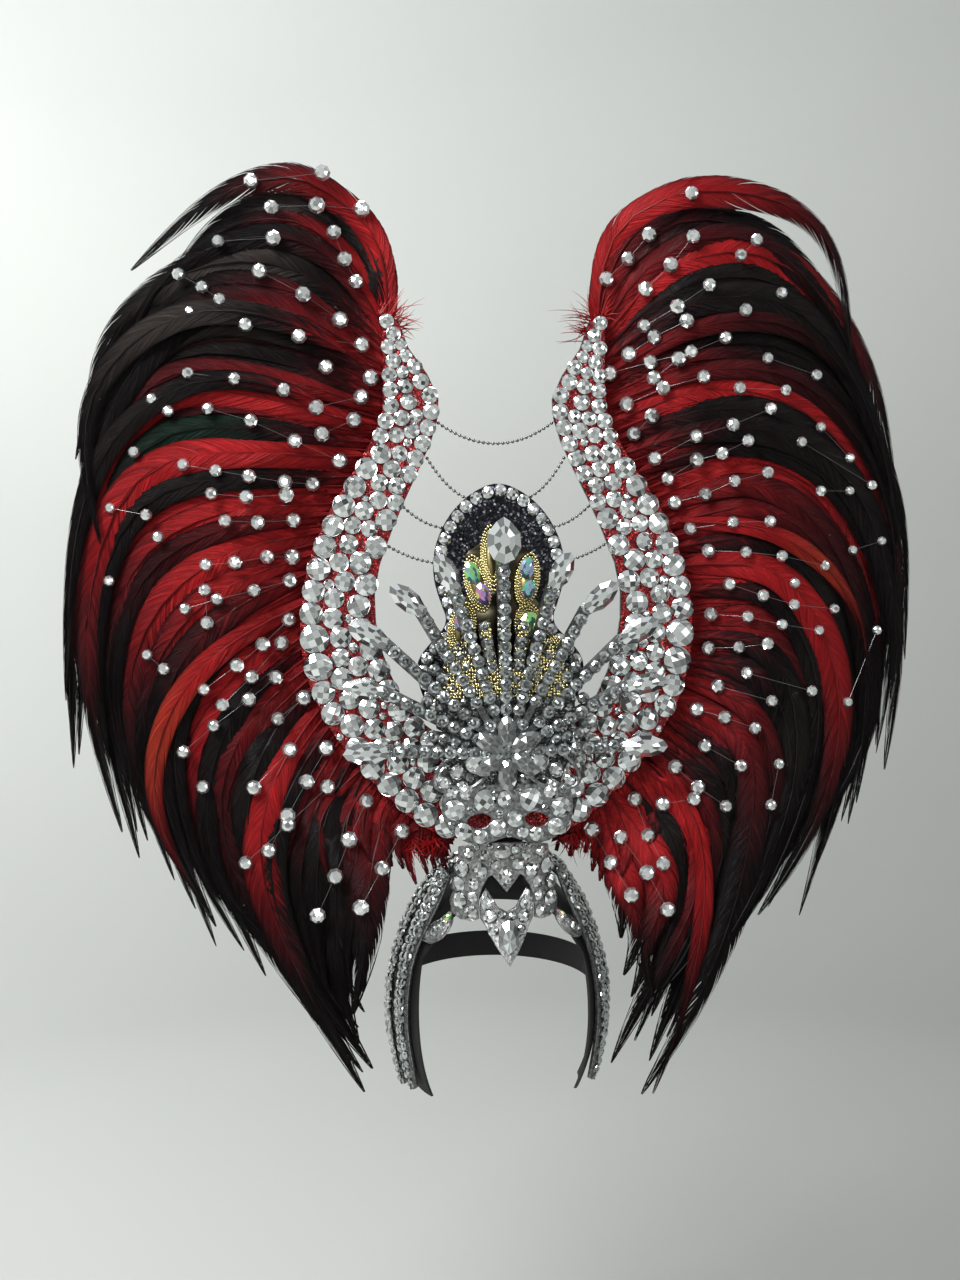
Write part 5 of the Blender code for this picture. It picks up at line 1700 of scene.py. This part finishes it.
def make_lining(cloth):
    """A cap of cloth with an arm that drops from its edge on each side, as one thick wall

    The cap's rings lie at squares of their share of the way down, which keeps them even
    over the crown.
    """
    shape = Shape()
    angles = np.arange(0.0, 360.0, 3.0)
    marks, edges = np.array(LINING_EDGE, float).T
    edge = np.interp(np.where(angles > 180, 360 - angles, angles), marks, edges)
    rings = 15
    heights = edge * (np.arange(1, rings + 1)[:, None] / rings) ** 2
    points = np.vstack([np.vstack([head_point(angles, heights, offset).reshape(-1, 3),
                                   [[0, HEAD_MID_Y, offset]]])
                        for offset in (0.0, LINING_THICK)])
    count = len(angles)
    outer = rings * count + 1
    skin = grid_faces(rings, count, closed=True)
    step = np.arange(count)
    ahead = (step + 1) % count
    pole = np.stack([step, ahead, np.full(count, rings * count)], -1)
    rim = (rings - 1) * count
    lip = np.stack([rim + step, rim + ahead, rim + ahead + outer, rim + step + outer], -1)
    shape.add(points, [np.vstack([skin[:, ::-1] + outer, skin, lip]),
                       np.vstack([pole + outer, pole[:, ::-1]])])
    first, last, low = LINING_ARM
    span = np.linspace(first, last, 13)
    top = np.interp(span, marks, edges) + 1.0
    level = top + (low - top) * np.linspace(0, 1, 30)[:, None]
    for side in (1, -1):
        ring = np.concatenate([head_point(span * side, level, LINING_THICK),
                               head_point(span * side, level, 0.0)[:, ::-1]], axis=1)
        shape.add(ring, ring_faces(*ring.shape[:2]))
    shape.make("lining", cloth, ["cage_lining"])


def make_strap(cloth):
    """The plain strap round the back of the head"""
    shape = Shape()
    top, bottom = STRAP_LEVELS
    outer, inner = STRAP_OFFSETS
    angles = np.linspace(STRAP_START, 360.0 - STRAP_START, 60)
    corners = [(top, inner), (top - 0.5, outer), (bottom + 0.5, outer), (bottom, inner)]
    ring = np.stack([head_point(angles, height, offset) for height, offset in corners], 1)
    shape.add(ring, ring_faces(60, 4))
    shape.make("strap", cloth, ["back_strap"])


def make_arm(name, table, side, setting, glass, rng):
    """One band of the cage: a silver base with corded edges and rows of small stones

    A cord is two strands, each a helix round the cord's line half a turn from the other.
    """
    band = line, out, across, widths, length = band_frame(table, side, 90)
    marks = np.linspace(0, 1, len(line))
    shape = Shape()
    band_body(shape, band, ARM_THICK, ARM_PROFILE)
    fine = np.linspace(0, 1, 4 * len(line))
    for edge in (-0.43, 0.0, 0.43):
        for start in (0.0, np.pi):
            twist = (np.pi * length / CORD_TURN * fine + start)[:, None]
            lift = ARM_THICK * (0.36 - abs(edge) * 0.75)
            cord = (read_rows(fine, marks, line + across * widths * edge)
                    + read_rows(fine, marks, out) * (lift + CORD_SPREAD * np.sin(twist))
                    + read_rows(fine, marks, across) * CORD_SPREAD * np.cos(twist))
            tube(shape, cord, 0.5, (0.6, 0.6, 0.62), sides=4)
    shape.make(name + "_band", setting, [name])
    stones = Shape()
    count = int(length / ARM_STONE_PITCH)
    for number, share in enumerate((-0.24, 0.24)):
        at = (np.arange(count) + 0.5 + 0.5 * number) / (count + 0.5)
        centre, aside, rise, wide = (read_rows(at, marks, values)
                                     for values in (line, across, out, widths))
        size = np.minimum(wide * 0.56, 9.2) * rng.uniform(0.78, 1.08, (count, 1))
        set_stones(stones, LARGE_ROUND, centre + aside * wide * share + rise * ARM_THICK * 0.43,
                   round_size(size, 0.3), rng, rise, tints=soft_tints, loose=0.16)
    stones.make(name + "_stones", glass, [name])


def make_curl(name, side, setting, glass, rng):
    """The leaf that curls back over the temple: a corded silver leaf with stones"""
    rows = [(x, float(surface_depth(x, z, CURL_LIFT)), z, width) for x, z, width in CURL_LEAF]
    band = line, out, across, widths, _ = band_frame(rows, side, 24)
    shape = Shape()
    band_body(shape, band, CURL_THICK, CURL_PROFILE)
    for edge in (-0.42, 0.42):
        tube(shape, line + across * widths * edge + out * 0.8, 0.8)
    shape.make(name + "_plate", setting, [name])
    stones = Shape()
    at = [number for number, _, _ in CURL_STONES]
    set_stones(stones, LARGE_ROUND, line[at] + out[at] * 1.8,
               [(width, width, high) for _, width, high in CURL_STONES], rng, out[at],
               tints=soft_tints)
    number, lean, width, length, high = CURL_NAVETTE
    set_stones(stones, NAVETTE, line[number] + out[number] * 1.6, [width, length, high], rng,
               out[number], leans=lean * side, tints=rainbow_tints)
    stones.make(name + "_stones", glass, [name])


class HEADDRESS_OT_brow(bpy.types.Operator):
    """Make the bridge over the brow and the pendant under it"""

    bl_idname = "headdress.brow"
    bl_label = "Brow"

    def execute(self, context):
        rng = draws(30)
        setting, glass = silver_setting(), cut_glass()
        pieces = (("brow_bridge", BRIDGE_OUTER, BRIDGE_INNER, BROW_STONES, BRIDGE_DROP),
                  ("brow_pendant", PENDANT_LOWER, PENDANT_UPPER, PENDANT_STONES, PENDANT_DROP))
        for name, outer, inner, large, (x, z, width, length, high) in pieces:
            outer, inner = mirror_edge(outer), mirror_edge(inner)
            shape = Shape()
            ribbon_plate(shape, outer, inner, brow_front, bridge_depth, 121, 6)
            shape.make(name + "_plate", setting, [name])
            keep = [(x, z, width), (x, z + length * 0.24, width * 0.8),
                    (x, z - length * 0.24, width * 0.8)]
            fixed = keep + [(s * a, b, c) for a, b, c in large for s in (1, -1)]
            placed = pack_stones([np.array(outer + inner[::-1], float)], BROW_FILLERS, fixed, rng,
                                 tries=2600, edge=-0.4, space=-0.1)[len(keep):]
            across, up, sizes = placed.T
            spots = np.stack([across, brow_front(across, up) + 0.1, up], -1)
            facing = np.stack([across * 2 / BROW_CURVE, 0 * up - 1.0, 0 * up - 0.06], -1)
            stones = Shape()
            set_rounds(stones, spots, sizes, 0.36, facing, soft_tints, rng, loose=0.1)
            spot = [x, float(brow_front(x, z)) + 0.8, z]
            if name == "brow_bridge":
                set_stones(stones, NAVETTE, spot, [width, length, high], rng, leans=0,
                           tints=gem_tints)
            else:
                set_stones(stones, PLAIN_DROP, spot, [width, length, high], rng, leans=180,
                           tints=petal_tints)
                x, z, lean, width, length, high = HORN_STONE
                for side in (1, -1):
                    set_stones(stones, PLAIN_DROP, [x * side, float(brow_front(x, z)) + 0.6, z],
                               [width, length, high], rng, leans=lean * side, tints=petal_tints)
            stones.make(name + "_stones", glass, [name])
        return {"FINISHED"}


def mirror_edge(edge):
    """A whole edge from left to right, from its right half that starts at the centre"""
    return [(-x, z) for x, z in reversed(edge) if x > 0] + list(edge)


class HEADDRESS_OT_panels(bpy.types.Operator):
    """Make the two lyre panels and their stones"""

    bl_idname = "headdress.panels"
    bl_label = "Panels"

    def execute(self, context):
        rng = draws(40)
        ground = panel_glitter()
        glass = cut_glass()
        outer, inner = np.array(PANEL_OUTER, float), np.array(PANEL_INNER, float)
        outline = np.vstack([outer, inner[::-1]])
        placed = settle(panel_stones() * (1, 1, PANEL_GROWTH), outline)
        placed = pack_stones([outline], PANEL_FILLERS, placed, rng, 5000, 0.2, 0.0)
        hidden = (placed[:, 0] < 34) & (placed[:, 1] < 60)
        placed = placed[~hidden]
        for side, prefix in SIDES:
            shape = Shape()
            ribbon_plate(shape, outer * (side, 1), inner * (side, 1),
                         lambda x, z: np.full_like(x, PANEL_FRONT),
                         lambda x, z: np.full_like(x, PANEL_BACK), 200, 4,
                         edge_tint=(0.0, 0.0, 0.0))
            shape.make(prefix + "_panel_ground", ground, [prefix + "_panel"])
            stones = Shape()
            set_stones(stones, CHESS_ROUND, front_of(placed[:, :2] * (side, 1), PANEL_FRONT),
                       round_size(placed[:, 2] * 1.03, 0.3), rng, tints=chess_tints, loose=0.07)
            stones.make(prefix + "_panel_stones", glass, [prefix + "_panel"])
        return {"FINISHED"}


class HEADDRESS_OT_medallion(bpy.types.Operator):
    """Make the black medallion and the stones of its border"""

    bl_idname = "headdress.medallion"
    bl_label = "Medallion"

    def execute(self, context):
        rng = draws(50)
        shape = Shape()
        outline = rounded(mirrored(MEDALLION_HALF + [(0, MEDALLION_HALF[-1][1])]))
        cut_plate(shape, [outline], MEDALLION_FRONT, MEDALLION_BACK)
        ground = medallion_glitter()
        shape.make("medallion_ground", ground, ["medallion"])
        row = inset(outline, BORDER_STONE / 2 + 0.4)
        row = np.vstack([row, row[:1]])
        count = int(walk(row)[1] / BORDER_PITCH)
        spots = along(row, (np.arange(count) + 0.5) / count)
        stones = Shape()
        set_stones(stones, CHESS_ROUND,
                   front_of(spots[spots[:, 1] > LOWEST_BORDER], MEDALLION_FRONT),
                   [BORDER_STONE, BORDER_STONE, 2.8], rng, tints=chess_tints, loose=0.1)
        stones.make("medallion_stones", cut_glass(), ["medallion"])
        return {"FINISHED"}


class HEADDRESS_OT_gold_ornament(bpy.types.Operator):
    """Make the gold ornament: bead rows on a plate, with stones that have a rainbow coat"""

    bl_idname = "headdress.gold_ornament"
    bl_label = "Gold Ornament"

    def execute(self, context):
        rng = draws(60)
        shape = Shape()
        left = [(-GOLD_LEFT_LOBE if x > 28 else -x, z) for x, z in reversed(GOLD_HALF) if x > 0]
        cut_plate(shape, [rounded(GOLD_HALF + left)], GOLD_FRONT, GOLD_BACK, 0.4,
                  (0.05, 0.05, 0.06))
        for number, (x, z, lean, width, length) in enumerate(GOLD_LEAVES):
            front = GOLD_FRONT - 0.5 - 0.4 * (number % 3)
            leaf = leaf_loop(x, z, lean, width, length, 0.86)
            cut_plate(shape, [leaf], front, GOLD_FRONT + 0.2, 0.4, (0.32, 0.3, 0.25))
            for scale, high, grow in GOLD_BEAD_ROWS:
                loop = leaf_loop(x, z, lean, width, length, scale)
                loop = np.vstack([loop, loop[:1]])
                bead = GOLD_BEAD_SIZE * grow
                count = int(walk(loop)[1] / (bead * 0.95))
                spot = front_of(along(loop, np.arange(count) / count), front - high)
                set_stones(shape, BEAD, spot, [bead, bead, bead / 2], rng, tints=plain_tints)
        stones = Shape()
        for x, z, lean, width, length, high in GOLD_STONES:
            set_stones(stones, NAVETTE, [x, GOLD_FRONT - 2.0, z], [width * 1.15, length, high],
                       rng, leans=lean, tints=rainbow_tints)
        shape.make("gold_beadwork", gilt_beads(), ["gold_ornament"], smooth=True)
        for x, z in AMBER_SPOTS:
            set_stones(stones, LARGE_ROUND, [x, GOLD_FRONT - 1.8, z], AMBER_SIZE, rng,
                       tints=amber_tints)
        stones.make("rainbow_stones", cut_glass(), ["gold_ornament"])
        return {"FINISHED"}


def leaf_loop(x, z, lean, width, length, scale):
    """Closed outline of a leaf at a place, scaled about its middle"""
    wide, tall = pointed_oval(np.linspace(0, 2 * np.pi, 61)[:-1])
    wide, tall = wide * (width * scale / 2), tall * (length * scale / 2)
    cos, sin = math.cos(math.radians(lean)), math.sin(math.radians(lean))
    return np.stack([x + wide * cos + tall * sin, z + tall * cos - wide * sin], -1)


def room_for(spot, size, taken):
    """Whether a round of a size fits at a place between the ones already taken"""
    return all(np.hypot(*(spot - other[:2])) > (size + other[2] * 0.9) / 2 for other in taken)


def heading(degrees):
    """Directions across and up, from angles turned clockwise from upright"""
    return np.stack([np.sin(np.radians(degrees)), np.cos(np.radians(degrees))], -1)


def rayed(outline, hub):
    """Cuts a fan back between its rows, so that each row stands on a finger of its own

    Round the hub the reach is the largest of the rows' own: half a row's width divided by
    the sine of the angle to it, and no more than the fan reached before.
    """
    away = outline - hub
    turned = np.arctan2(away[:, 0], away[:, 1])
    order = np.argsort(turned)
    turn = np.linspace(-np.pi, np.pi, 721)[:-1]
    reach = np.interp(turn, turned[order], np.hypot(*away[order].T), period=2 * np.pi)
    rows = [math.atan2(x, z - hub[1]) for x, z, _, _, _ in SPRAY_ENDS]
    rows += [math.radians(angle) for angle, _ in SHORT_ROWS]
    rows = np.array(sorted(set(rows + [-angle for angle in rows])))
    apart = np.abs(turn[:, None] - rows[None])
    finger = ROW_STONE * 0.52 / np.sin(apart.min(1).clip(1e-3, np.pi / 2))
    low = np.abs(turn) > math.radians(95)
    reach = np.where(low, reach, np.minimum(reach, finger.clip(30)))
    return hub + reach[:, None] * np.stack([np.sin(turn), np.cos(turn)], -1)


class HEADDRESS_OT_spray(bpy.types.Operator):
    """Make the spray: its plate, spikes, post, end stones and the flower over its hub"""

    bl_idname = "headdress.spray"
    bl_label = "Spray"

    def execute(self, context):
        rng = draws(70)
        glass = cut_glass()
        outline = rayed(rounded(mirrored(SPRAY_FAN)), np.array(HUB))
        ground = Shape()
        cut_plate(ground, [outline], SPRAY_FRONT, SPRAY_BACK)
        ground.make("spray_ground", dark_backing(), ["spray"])
        stones = Shape()
        taken = make_spikes(stones, silver_setting(), rng)
        fill_fan(stones, outline, taken, rng)
        stones.make("spray_stones", glass, ["spray"])
        make_fan_beads(outline, taken, rng)
        x, z, lean, width, length = SPRAY_ENDS[0]
        make_end("centre_teardrop", TEARDROP, x, z, lean, (width, length, 8.0), glass, rng)
        for name, (x, z, lean, width, length) in zip(END_NAMES, SPRAY_ENDS[1:]):
            for side, prefix in SIDES:
                make_end(f"{prefix}_{name}_navette", NAVETTE, x * side, z, lean * side,
                         (width, length, 6.5), glass, rng)
        make_flower(glass, rng)
        return {"FINISHED"}


def make_spikes(stones, setting, rng):
    """Spikes with their stones, the post and the leaf frames beside the hub

    Returns the place and width of every stone that is set, with the hub first.
    """
    hub = np.array(HUB)
    shape = Shape()
    turn = 2 * np.pi * np.arange(32) / 32
    post = hub - (0, POST_BELOW_HUB) + POST_RADIUS * np.stack([np.cos(turn), np.sin(turn)], -1)
    cut_plate(shape, [post], SPRAY_BACK, MEDALLION_FRONT - 0.3, 0.01)
    taken = [np.array([*HUB, HUB_WIDE])]
    for x, z, lean, _, length in SPRAY_ENDS:
        for side in ((1,) if x == 0 else (1, -1)):
            heel = np.array([x * side, z]) - length * 0.42 * heading(lean * side)
            run = unit(heel - hub)
            start = hub + run * SPIKE_START
            across = np.array([run[1], -run[0]]) * SPIKE_WIDE / 2
            section = ((-1, SPRAY_BACK - 0.4), (1, SPRAY_BACK - 0.4),
                       (0.55, SPRAY_FRONT - SPIKE_RISE), (-0.55, SPRAY_FRONT - SPIKE_RISE))
            rows = [[front_of(spot + across * share, depth)[0] for share, depth in section]
                    for spot in (start, heel)]
            shape.add(rows, ring_faces(2, 4), SPIKE_TINT)
            count = int(np.hypot(*(heel - start)) / (SPIKE_STONE * 0.97))
            spots = start + (heel - start) * (np.arange(count + 1) / count)[:, None]
            keep = [spot for spot in spots if room_for(spot, SPIKE_STONE * 0.9, taken)]
            taken += [np.array([*spot, SPIKE_STONE]) for spot in keep]
            set_stones(stones, LARGE_ROUND, front_of(keep, SPRAY_FRONT - SPIKE_RISE - 0.1),
                       [SPIKE_STONE * 1.04, SPIKE_STONE * 1.04, 3.2], rng, tints=cup_tints,
                       loose=0.14)
    for side in (1, -1):
        x, z, lean, width, length = HUB_LEAF
        loop = leaf_loop(x * side, z, lean * side, width, length, 1.0)
        tube(shape, front_of(np.vstack([loop, loop[:2]]), SPRAY_FRONT - 3.0), 1.5, PALE_TINT, 6)
        for x, z, width in HUB_ROUNDS:
            taken.append(np.array([x * side, z, width]))
            set_stones(stones, CHESS_ROUND, [x * side, SPRAY_FRONT - 1.0, z],
                       [width, width, width * 0.35 + 1.0], rng, tints=chess_tints)
    shape.make("spray_setting", setting, ["spray"])
    return taken


def fill_fan(stones, outline, taken, rng):
    """Rows of stones between the spikes, and smaller ones wherever the fan has room left"""
    rows = []
    for angle, reach in SHORT_ROWS:
        for side in (1, -1):
            for far in np.arange(reach - ROW_STONE / 2, 18.0, -ROW_STONE * 0.98):
                spot = np.array(HUB) + heading(angle * side) * far
                if room_for(spot, ROW_STONE * 0.9, taken):
                    rows.append(spot)
                    taken.append(np.array([*spot, ROW_STONE]))
    set_stones(stones, LARGE_ROUND, front_of(rows, SPRAY_FRONT - 0.1),
               [ROW_STONE * 1.03, ROW_STONE * 1.03, 3.2], rng, tints=cup_tints, loose=0.16)
    patch = pack_stones([outline], FAN_FILLERS, taken, rng, 2500, 0.2, 0.0)[len(taken):]
    set_stones(stones, LARGE_ROUND, front_of(patch[:, :2], SPRAY_FRONT - 0.1),
               round_size(patch[:, 2], 0.36), rng, tints=cup_tints, loose=0.12)


def make_fan_beads(outline, taken, rng):
    """Gilt beads on a shaken grid over the upper fan, clear of its rows of stones"""
    wide = np.abs(outline[:, 0]).max()
    grid = np.stack(np.meshgrid(np.arange(-wide, wide, FAN_BEAD_PITCH),
                                np.arange(GOLD_LOWEST, outline[:, 1].max(), FAN_BEAD_PITCH)), -1)
    grid = grid.reshape(-1, 2) + rng.uniform(-0.6, 0.6, (grid.size // 2, 2))
    others = np.array(taken)
    reach = np.sqrt(((grid[:, None] - others[None, :, :2]) ** 2).sum(2))
    clear = (reach > others[None, :, 2] * 0.46).all(1)
    clear &= inside(grid, outline) & (edge_distance(grid, outline) > 1.0)
    beads = Shape()
    set_stones(beads, BEAD, front_of(grid[clear], SPRAY_FRONT - 0.3), [2.6, 2.6, 1.3], rng,
               tints=plain_tints)
    beads.make("spray_beads", gilt_beads(), ["spray"], smooth=True)


def make_end(name, form, x, z, lean, size, glass, rng):
    """One stone at the end of a spike"""
    shape = Shape()
    set_stones(shape, form, [x, END_STONE_BACK, z], np.array(size) * (1.1, 1.04, 1), rng,
               leans=lean, tints=gem_tints)
    shape.make(name + "_stone", glass, [name])


def make_flower(glass, rng):
    """Petals evenly round a stone over the hub"""
    shape = Shape()
    turn = 360.0 * np.arange(PETALS) / PETALS
    spots = np.array(HUB) + PETAL_REACH * heading(turn)
    set_stones(shape, PETAL, front_of(spots, END_STONE_BACK), PETAL_SIZE, rng, leans=turn,
               tints=flower_tints)
    set_stones(shape, LARGE_ROUND, front_of(HUB, END_STONE_BACK - 1.0), [10, 10, 6.5], rng,
               tints=cup_tints)
    shape.make("flower", glass, ["hub_flower"])


class HEADDRESS_OT_base_ornament(bpy.types.Operator):
    """Make the mask shaped ornament under the hub"""

    bl_idname = "headdress.base_ornament"
    bl_label = "Base Ornament"

    def execute(self, context):
        rng = draws(80)
        shape = Shape()
        outlines = [rounded(half, 1) for half in
                    (mirrored(BASE_HALF), BASE_EYE, [(-x, z) for x, z in reversed(BASE_EYE)])]
        cut_plate(shape, outlines, BASE_FRONT, BASE_BACK, tint=PALE_TINT)
        shape.make("base_setting", silver_setting(), ["base_ornament"])
        large = [(x * side, z, size) for x, z, size in BASE_STONES for side in (1, -1)]
        placed = pack_stones(outlines, BASE_FILLERS, large, rng, 2600, -0.4, 0.0)
        stones = Shape()
        facing = rng.normal(0, 0.1, (len(placed), 3)) + (0, -1, 0)
        set_rounds(stones, front_of(placed[:, :2], BASE_FRONT), placed[:, 2], 0.33, facing,
                   cup_tints, rng)
        stones.make("base_stones", cut_glass(), ["base_ornament"])
        return {"FINISHED"}


class HEADDRESS_OT_chains(bpy.types.Operator):
    """Make the seven ball chains"""

    bl_idname = "headdress.chains"
    bl_label = "Chains"

    def execute(self, context):
        rng = draws(90)
        metal = ball_chain()
        radius = CHAIN_BALL / 2
        at_panel = PANEL_BACK + 0.6 + radius
        at_medallion = PANEL_FRONT + radius
        x, z, sag = TOP_CHAIN
        chains = [("top_chain", (-x, at_panel, z), (x, at_panel, z), sag)]
        for side, prefix in SIDES:
            for number, (x, z, inner_x, inner_z, sag) in enumerate(SIDE_CHAINS, 1):
                chains.append((f"{prefix}_chain_{number}", (side * x, at_panel, z),
                               (side * inner_x, at_medallion, inner_z), sag))
        share = np.linspace(0, 1, 200)
        for name, start, end, sag in chains:
            line = np.array(start) + (np.array(end) - start) * share[:, None]
            line[:, 2] -= 4 * sag * share * (1 - share)
            count = int(walk(line)[1] / CHAIN_PITCH)
            shape = Shape()
            set_stones(shape, BALL, along(line, np.linspace(0, 1, count + 1)),
                       [CHAIN_BALL, CHAIN_BALL, radius], rng, tints=plain_tints)
            tube(shape, line[::4], 0.35)
            shape.make(name + "_balls", metal, [name], smooth=True)
        return {"FINISHED"}


def photo_spots(pixels):
    """Where the lines of sight through pixels of the photograph meet the front feathers"""
    matrix = camera_matrix()
    eye = np.array(matrix.translation) / MM
    turn = np.array(matrix.to_3x3())
    pixels = np.asarray(pixels, float)
    sight = np.stack([(pixels[:, 0] - PHOTO_WIDE / 2) / PHOTO_FOCAL,
                      -(pixels[:, 1] - PHOTO_HIGH / 2) / PHOTO_FOCAL,
                      np.full(len(pixels), -1.0)], -1) @ turn.T
    depth = np.full(len(pixels), -50.0)
    for _ in range(6):
        spots = eye + sight * ((depth - eye[1]) / sight[:, 1])[:, None]
        depth = feather_depth(np.stack([np.abs(spots[:, 0]), spots[:, 2]], -1), -0.1) - 1.4
    return spots


class HEADDRESS_OT_threads(bpy.types.Operator):
    """Make the clear threads over the feathers and the stones that they carry"""

    bl_idname = "headdress.threads"
    bl_label = "Threads"

    def execute(self, context):
        rng = draws(100)
        nylon, glass = clear_thread(), cut_glass()
        for prefix, rows in (("left", LEFT_THREADS), ("right", RIGHT_THREADS)):
            threads = Shape()
            stones = Shape()
            for x1, y1, x2, y2, count in rows:
                share = np.linspace(0, 1, count)[:, None] if count > 1 else np.zeros((1, 1))
                jitter = rng.normal(0, 2.0, (count, 2)) * (count > 2)
                pixels = np.array([x1, y1]) * (1 - share) + np.array([x2, y2]) * share + jitter
                size = np.interp(np.abs(pixels[:, 0] - PHOTO_WIDE / 2), *THREAD_STONES)
                size = size * rng.uniform(0.92, 1.05, count)
                set_stones(stones, SMALL_ROUND, photo_spots(pixels), round_size(size, 0.36), rng,
                           tints=bright_tints, loose=0.12)
                if count > 1:
                    path = read_rows(np.linspace(0, 1, 6 * count), share[:, 0], pixels)
                    tube(threads, photo_spots(path), THREAD_RADIUS, THREAD_TINT, 4)
            threads.make(prefix + "_threads", nylon)
            stones.make(prefix + "_thread_stones", glass)
        return {"FINISHED"}


def make_stage():
    """A pale floor that sweeps up all round, soft lights and the camera"""
    scene = bpy.context.scene
    turns = np.linspace(0, 2 * np.pi, 97)[:-1]
    bend = np.linspace(0, np.pi / 2, 13)
    radius = np.concatenate([[20, 1000], FLOOR_FLAT + FLOOR_BEND * np.sin(bend),
                             [FLOOR_FLAT + FLOOR_BEND] * 2])
    height = np.concatenate([[0, 0], FLOOR_BEND * (1 - np.cos(bend)), WALL_HEIGHTS])
    height = height + FLOOR_HEIGHT
    points = np.stack([radius[:, None] * np.cos(turns), radius[:, None] * np.sin(turns),
                       height[:, None] + 0 * turns], -1)
    mesh = bpy.data.meshes.new("studio_floor")
    faces = grid_faces(len(radius), len(turns), closed=True)[:, ::-1].tolist()
    faces.append(list(range(len(turns))))
    mesh.from_pydata((points.reshape(-1, 3) * MM).tolist(), [], faces)
    mesh.polygons.foreach_set("use_smooth", np.full(len(mesh.polygons), True))
    mesh.materials.append(pale_floor())
    floor = bpy.data.objects.new("studio_floor", mesh)
    scene.collection.objects.link(floor)
    for name, place, size, power, target in LAMPS:
        light = bpy.data.lights.new(name, "AREA")
        light.size = size
        light.energy = power
        item = bpy.data.objects.new(name, light)
        item.location = Vector(place) * MM
        aim = Vector(target) * MM - item.location
        item.rotation_euler = aim.to_track_quat("-Z", "Y").to_euler()
        scene.collection.objects.link(item)
    world = bpy.data.worlds.new("studio")
    world.use_nodes = True
    sky = world.node_tree.nodes["Background"].inputs
    sky["Color"].default_value = SKY_COLOUR
    sky["Strength"].default_value = SKY_STRENGTH
    scene.world = world
    scene.view_settings.view_transform = "Standard"
    camera = bpy.data.cameras.new("camera")
    camera.sensor_fit = "VERTICAL"
    camera.sensor_height = SENSOR
    camera.lens = SENSOR * PHOTO_FOCAL / PHOTO_HIGH
    camera.clip_start = 0.02
    item = bpy.data.objects.new("camera", camera)
    item.matrix_world = camera_matrix()
    scene.collection.objects.link(item)
    scene.camera = item


def camera_matrix():
    """The camera looks past the headdress's middle plane by its yaw, and is rolled"""
    yaw = math.radians(CAMERA_YAW)
    ahead = Vector((math.sin(yaw), math.cos(yaw), 0))
    right = Vector((math.cos(yaw), -math.sin(yaw), 0))
    place = (Vector(CAMERA_AIM) - CAMERA_FAR * ahead - CAMERA_ASIDE * right) * MM
    turned = Matrix((right, (0, 0, 1), -ahead)).transposed().to_4x4()
    roll = Matrix.Rotation(math.radians(-CAMERA_ROLL), 4, "Z")
    return Matrix.Translation(place) @ turned @ roll


class HEADDRESS_OT_stage(bpy.types.Operator):
    """Make the floor, the lights and the camera"""

    bl_idname = "headdress.stage"
    bl_label = "Stage"

    def execute(self, context):
        make_stage()
        return {"FINISHED"}


class HEADDRESS_PT_tools(bpy.types.Panel):
    """Lists the pieces of the headdress"""

    bl_label = "Headdress"
    bl_space_type = "VIEW_3D"
    bl_region_type = "UI"
    bl_category = "Headdress"

    def draw(self, context):
        for setting in ("lock_step", "gilt", "panel_bright", "panel_dark", "seed"):
            self.layout.prop(context.scene.headdress, setting)
        for operator in STEPS:
            self.layout.operator(operator.bl_idname)


STEPS = [
    HEADDRESS_OT_cage, HEADDRESS_OT_brow, HEADDRESS_OT_panels, HEADDRESS_OT_medallion,
    HEADDRESS_OT_gold_ornament, HEADDRESS_OT_spray, HEADDRESS_OT_base_ornament,
    HEADDRESS_OT_chains, HEADDRESS_OT_feathers, HEADDRESS_OT_threads, HEADDRESS_OT_stage,
]
CLASSES = [HeaddressSettings, *STEPS, HEADDRESS_PT_tools]


def register():
    for item in CLASSES:
        bpy.utils.register_class(item)
    bpy.types.Scene.headdress = PointerProperty(type=HeaddressSettings)


def unregister():
    del bpy.types.Scene.headdress
    for item in reversed(CLASSES):
        bpy.utils.unregister_class(item)


def main():
    """Makes every piece"""
    register()
    for step in STEPS:
        family, name = step.bl_idname.split(".")
        getattr(getattr(bpy.ops, family), name)()


if __name__ == "__main__":
    main()
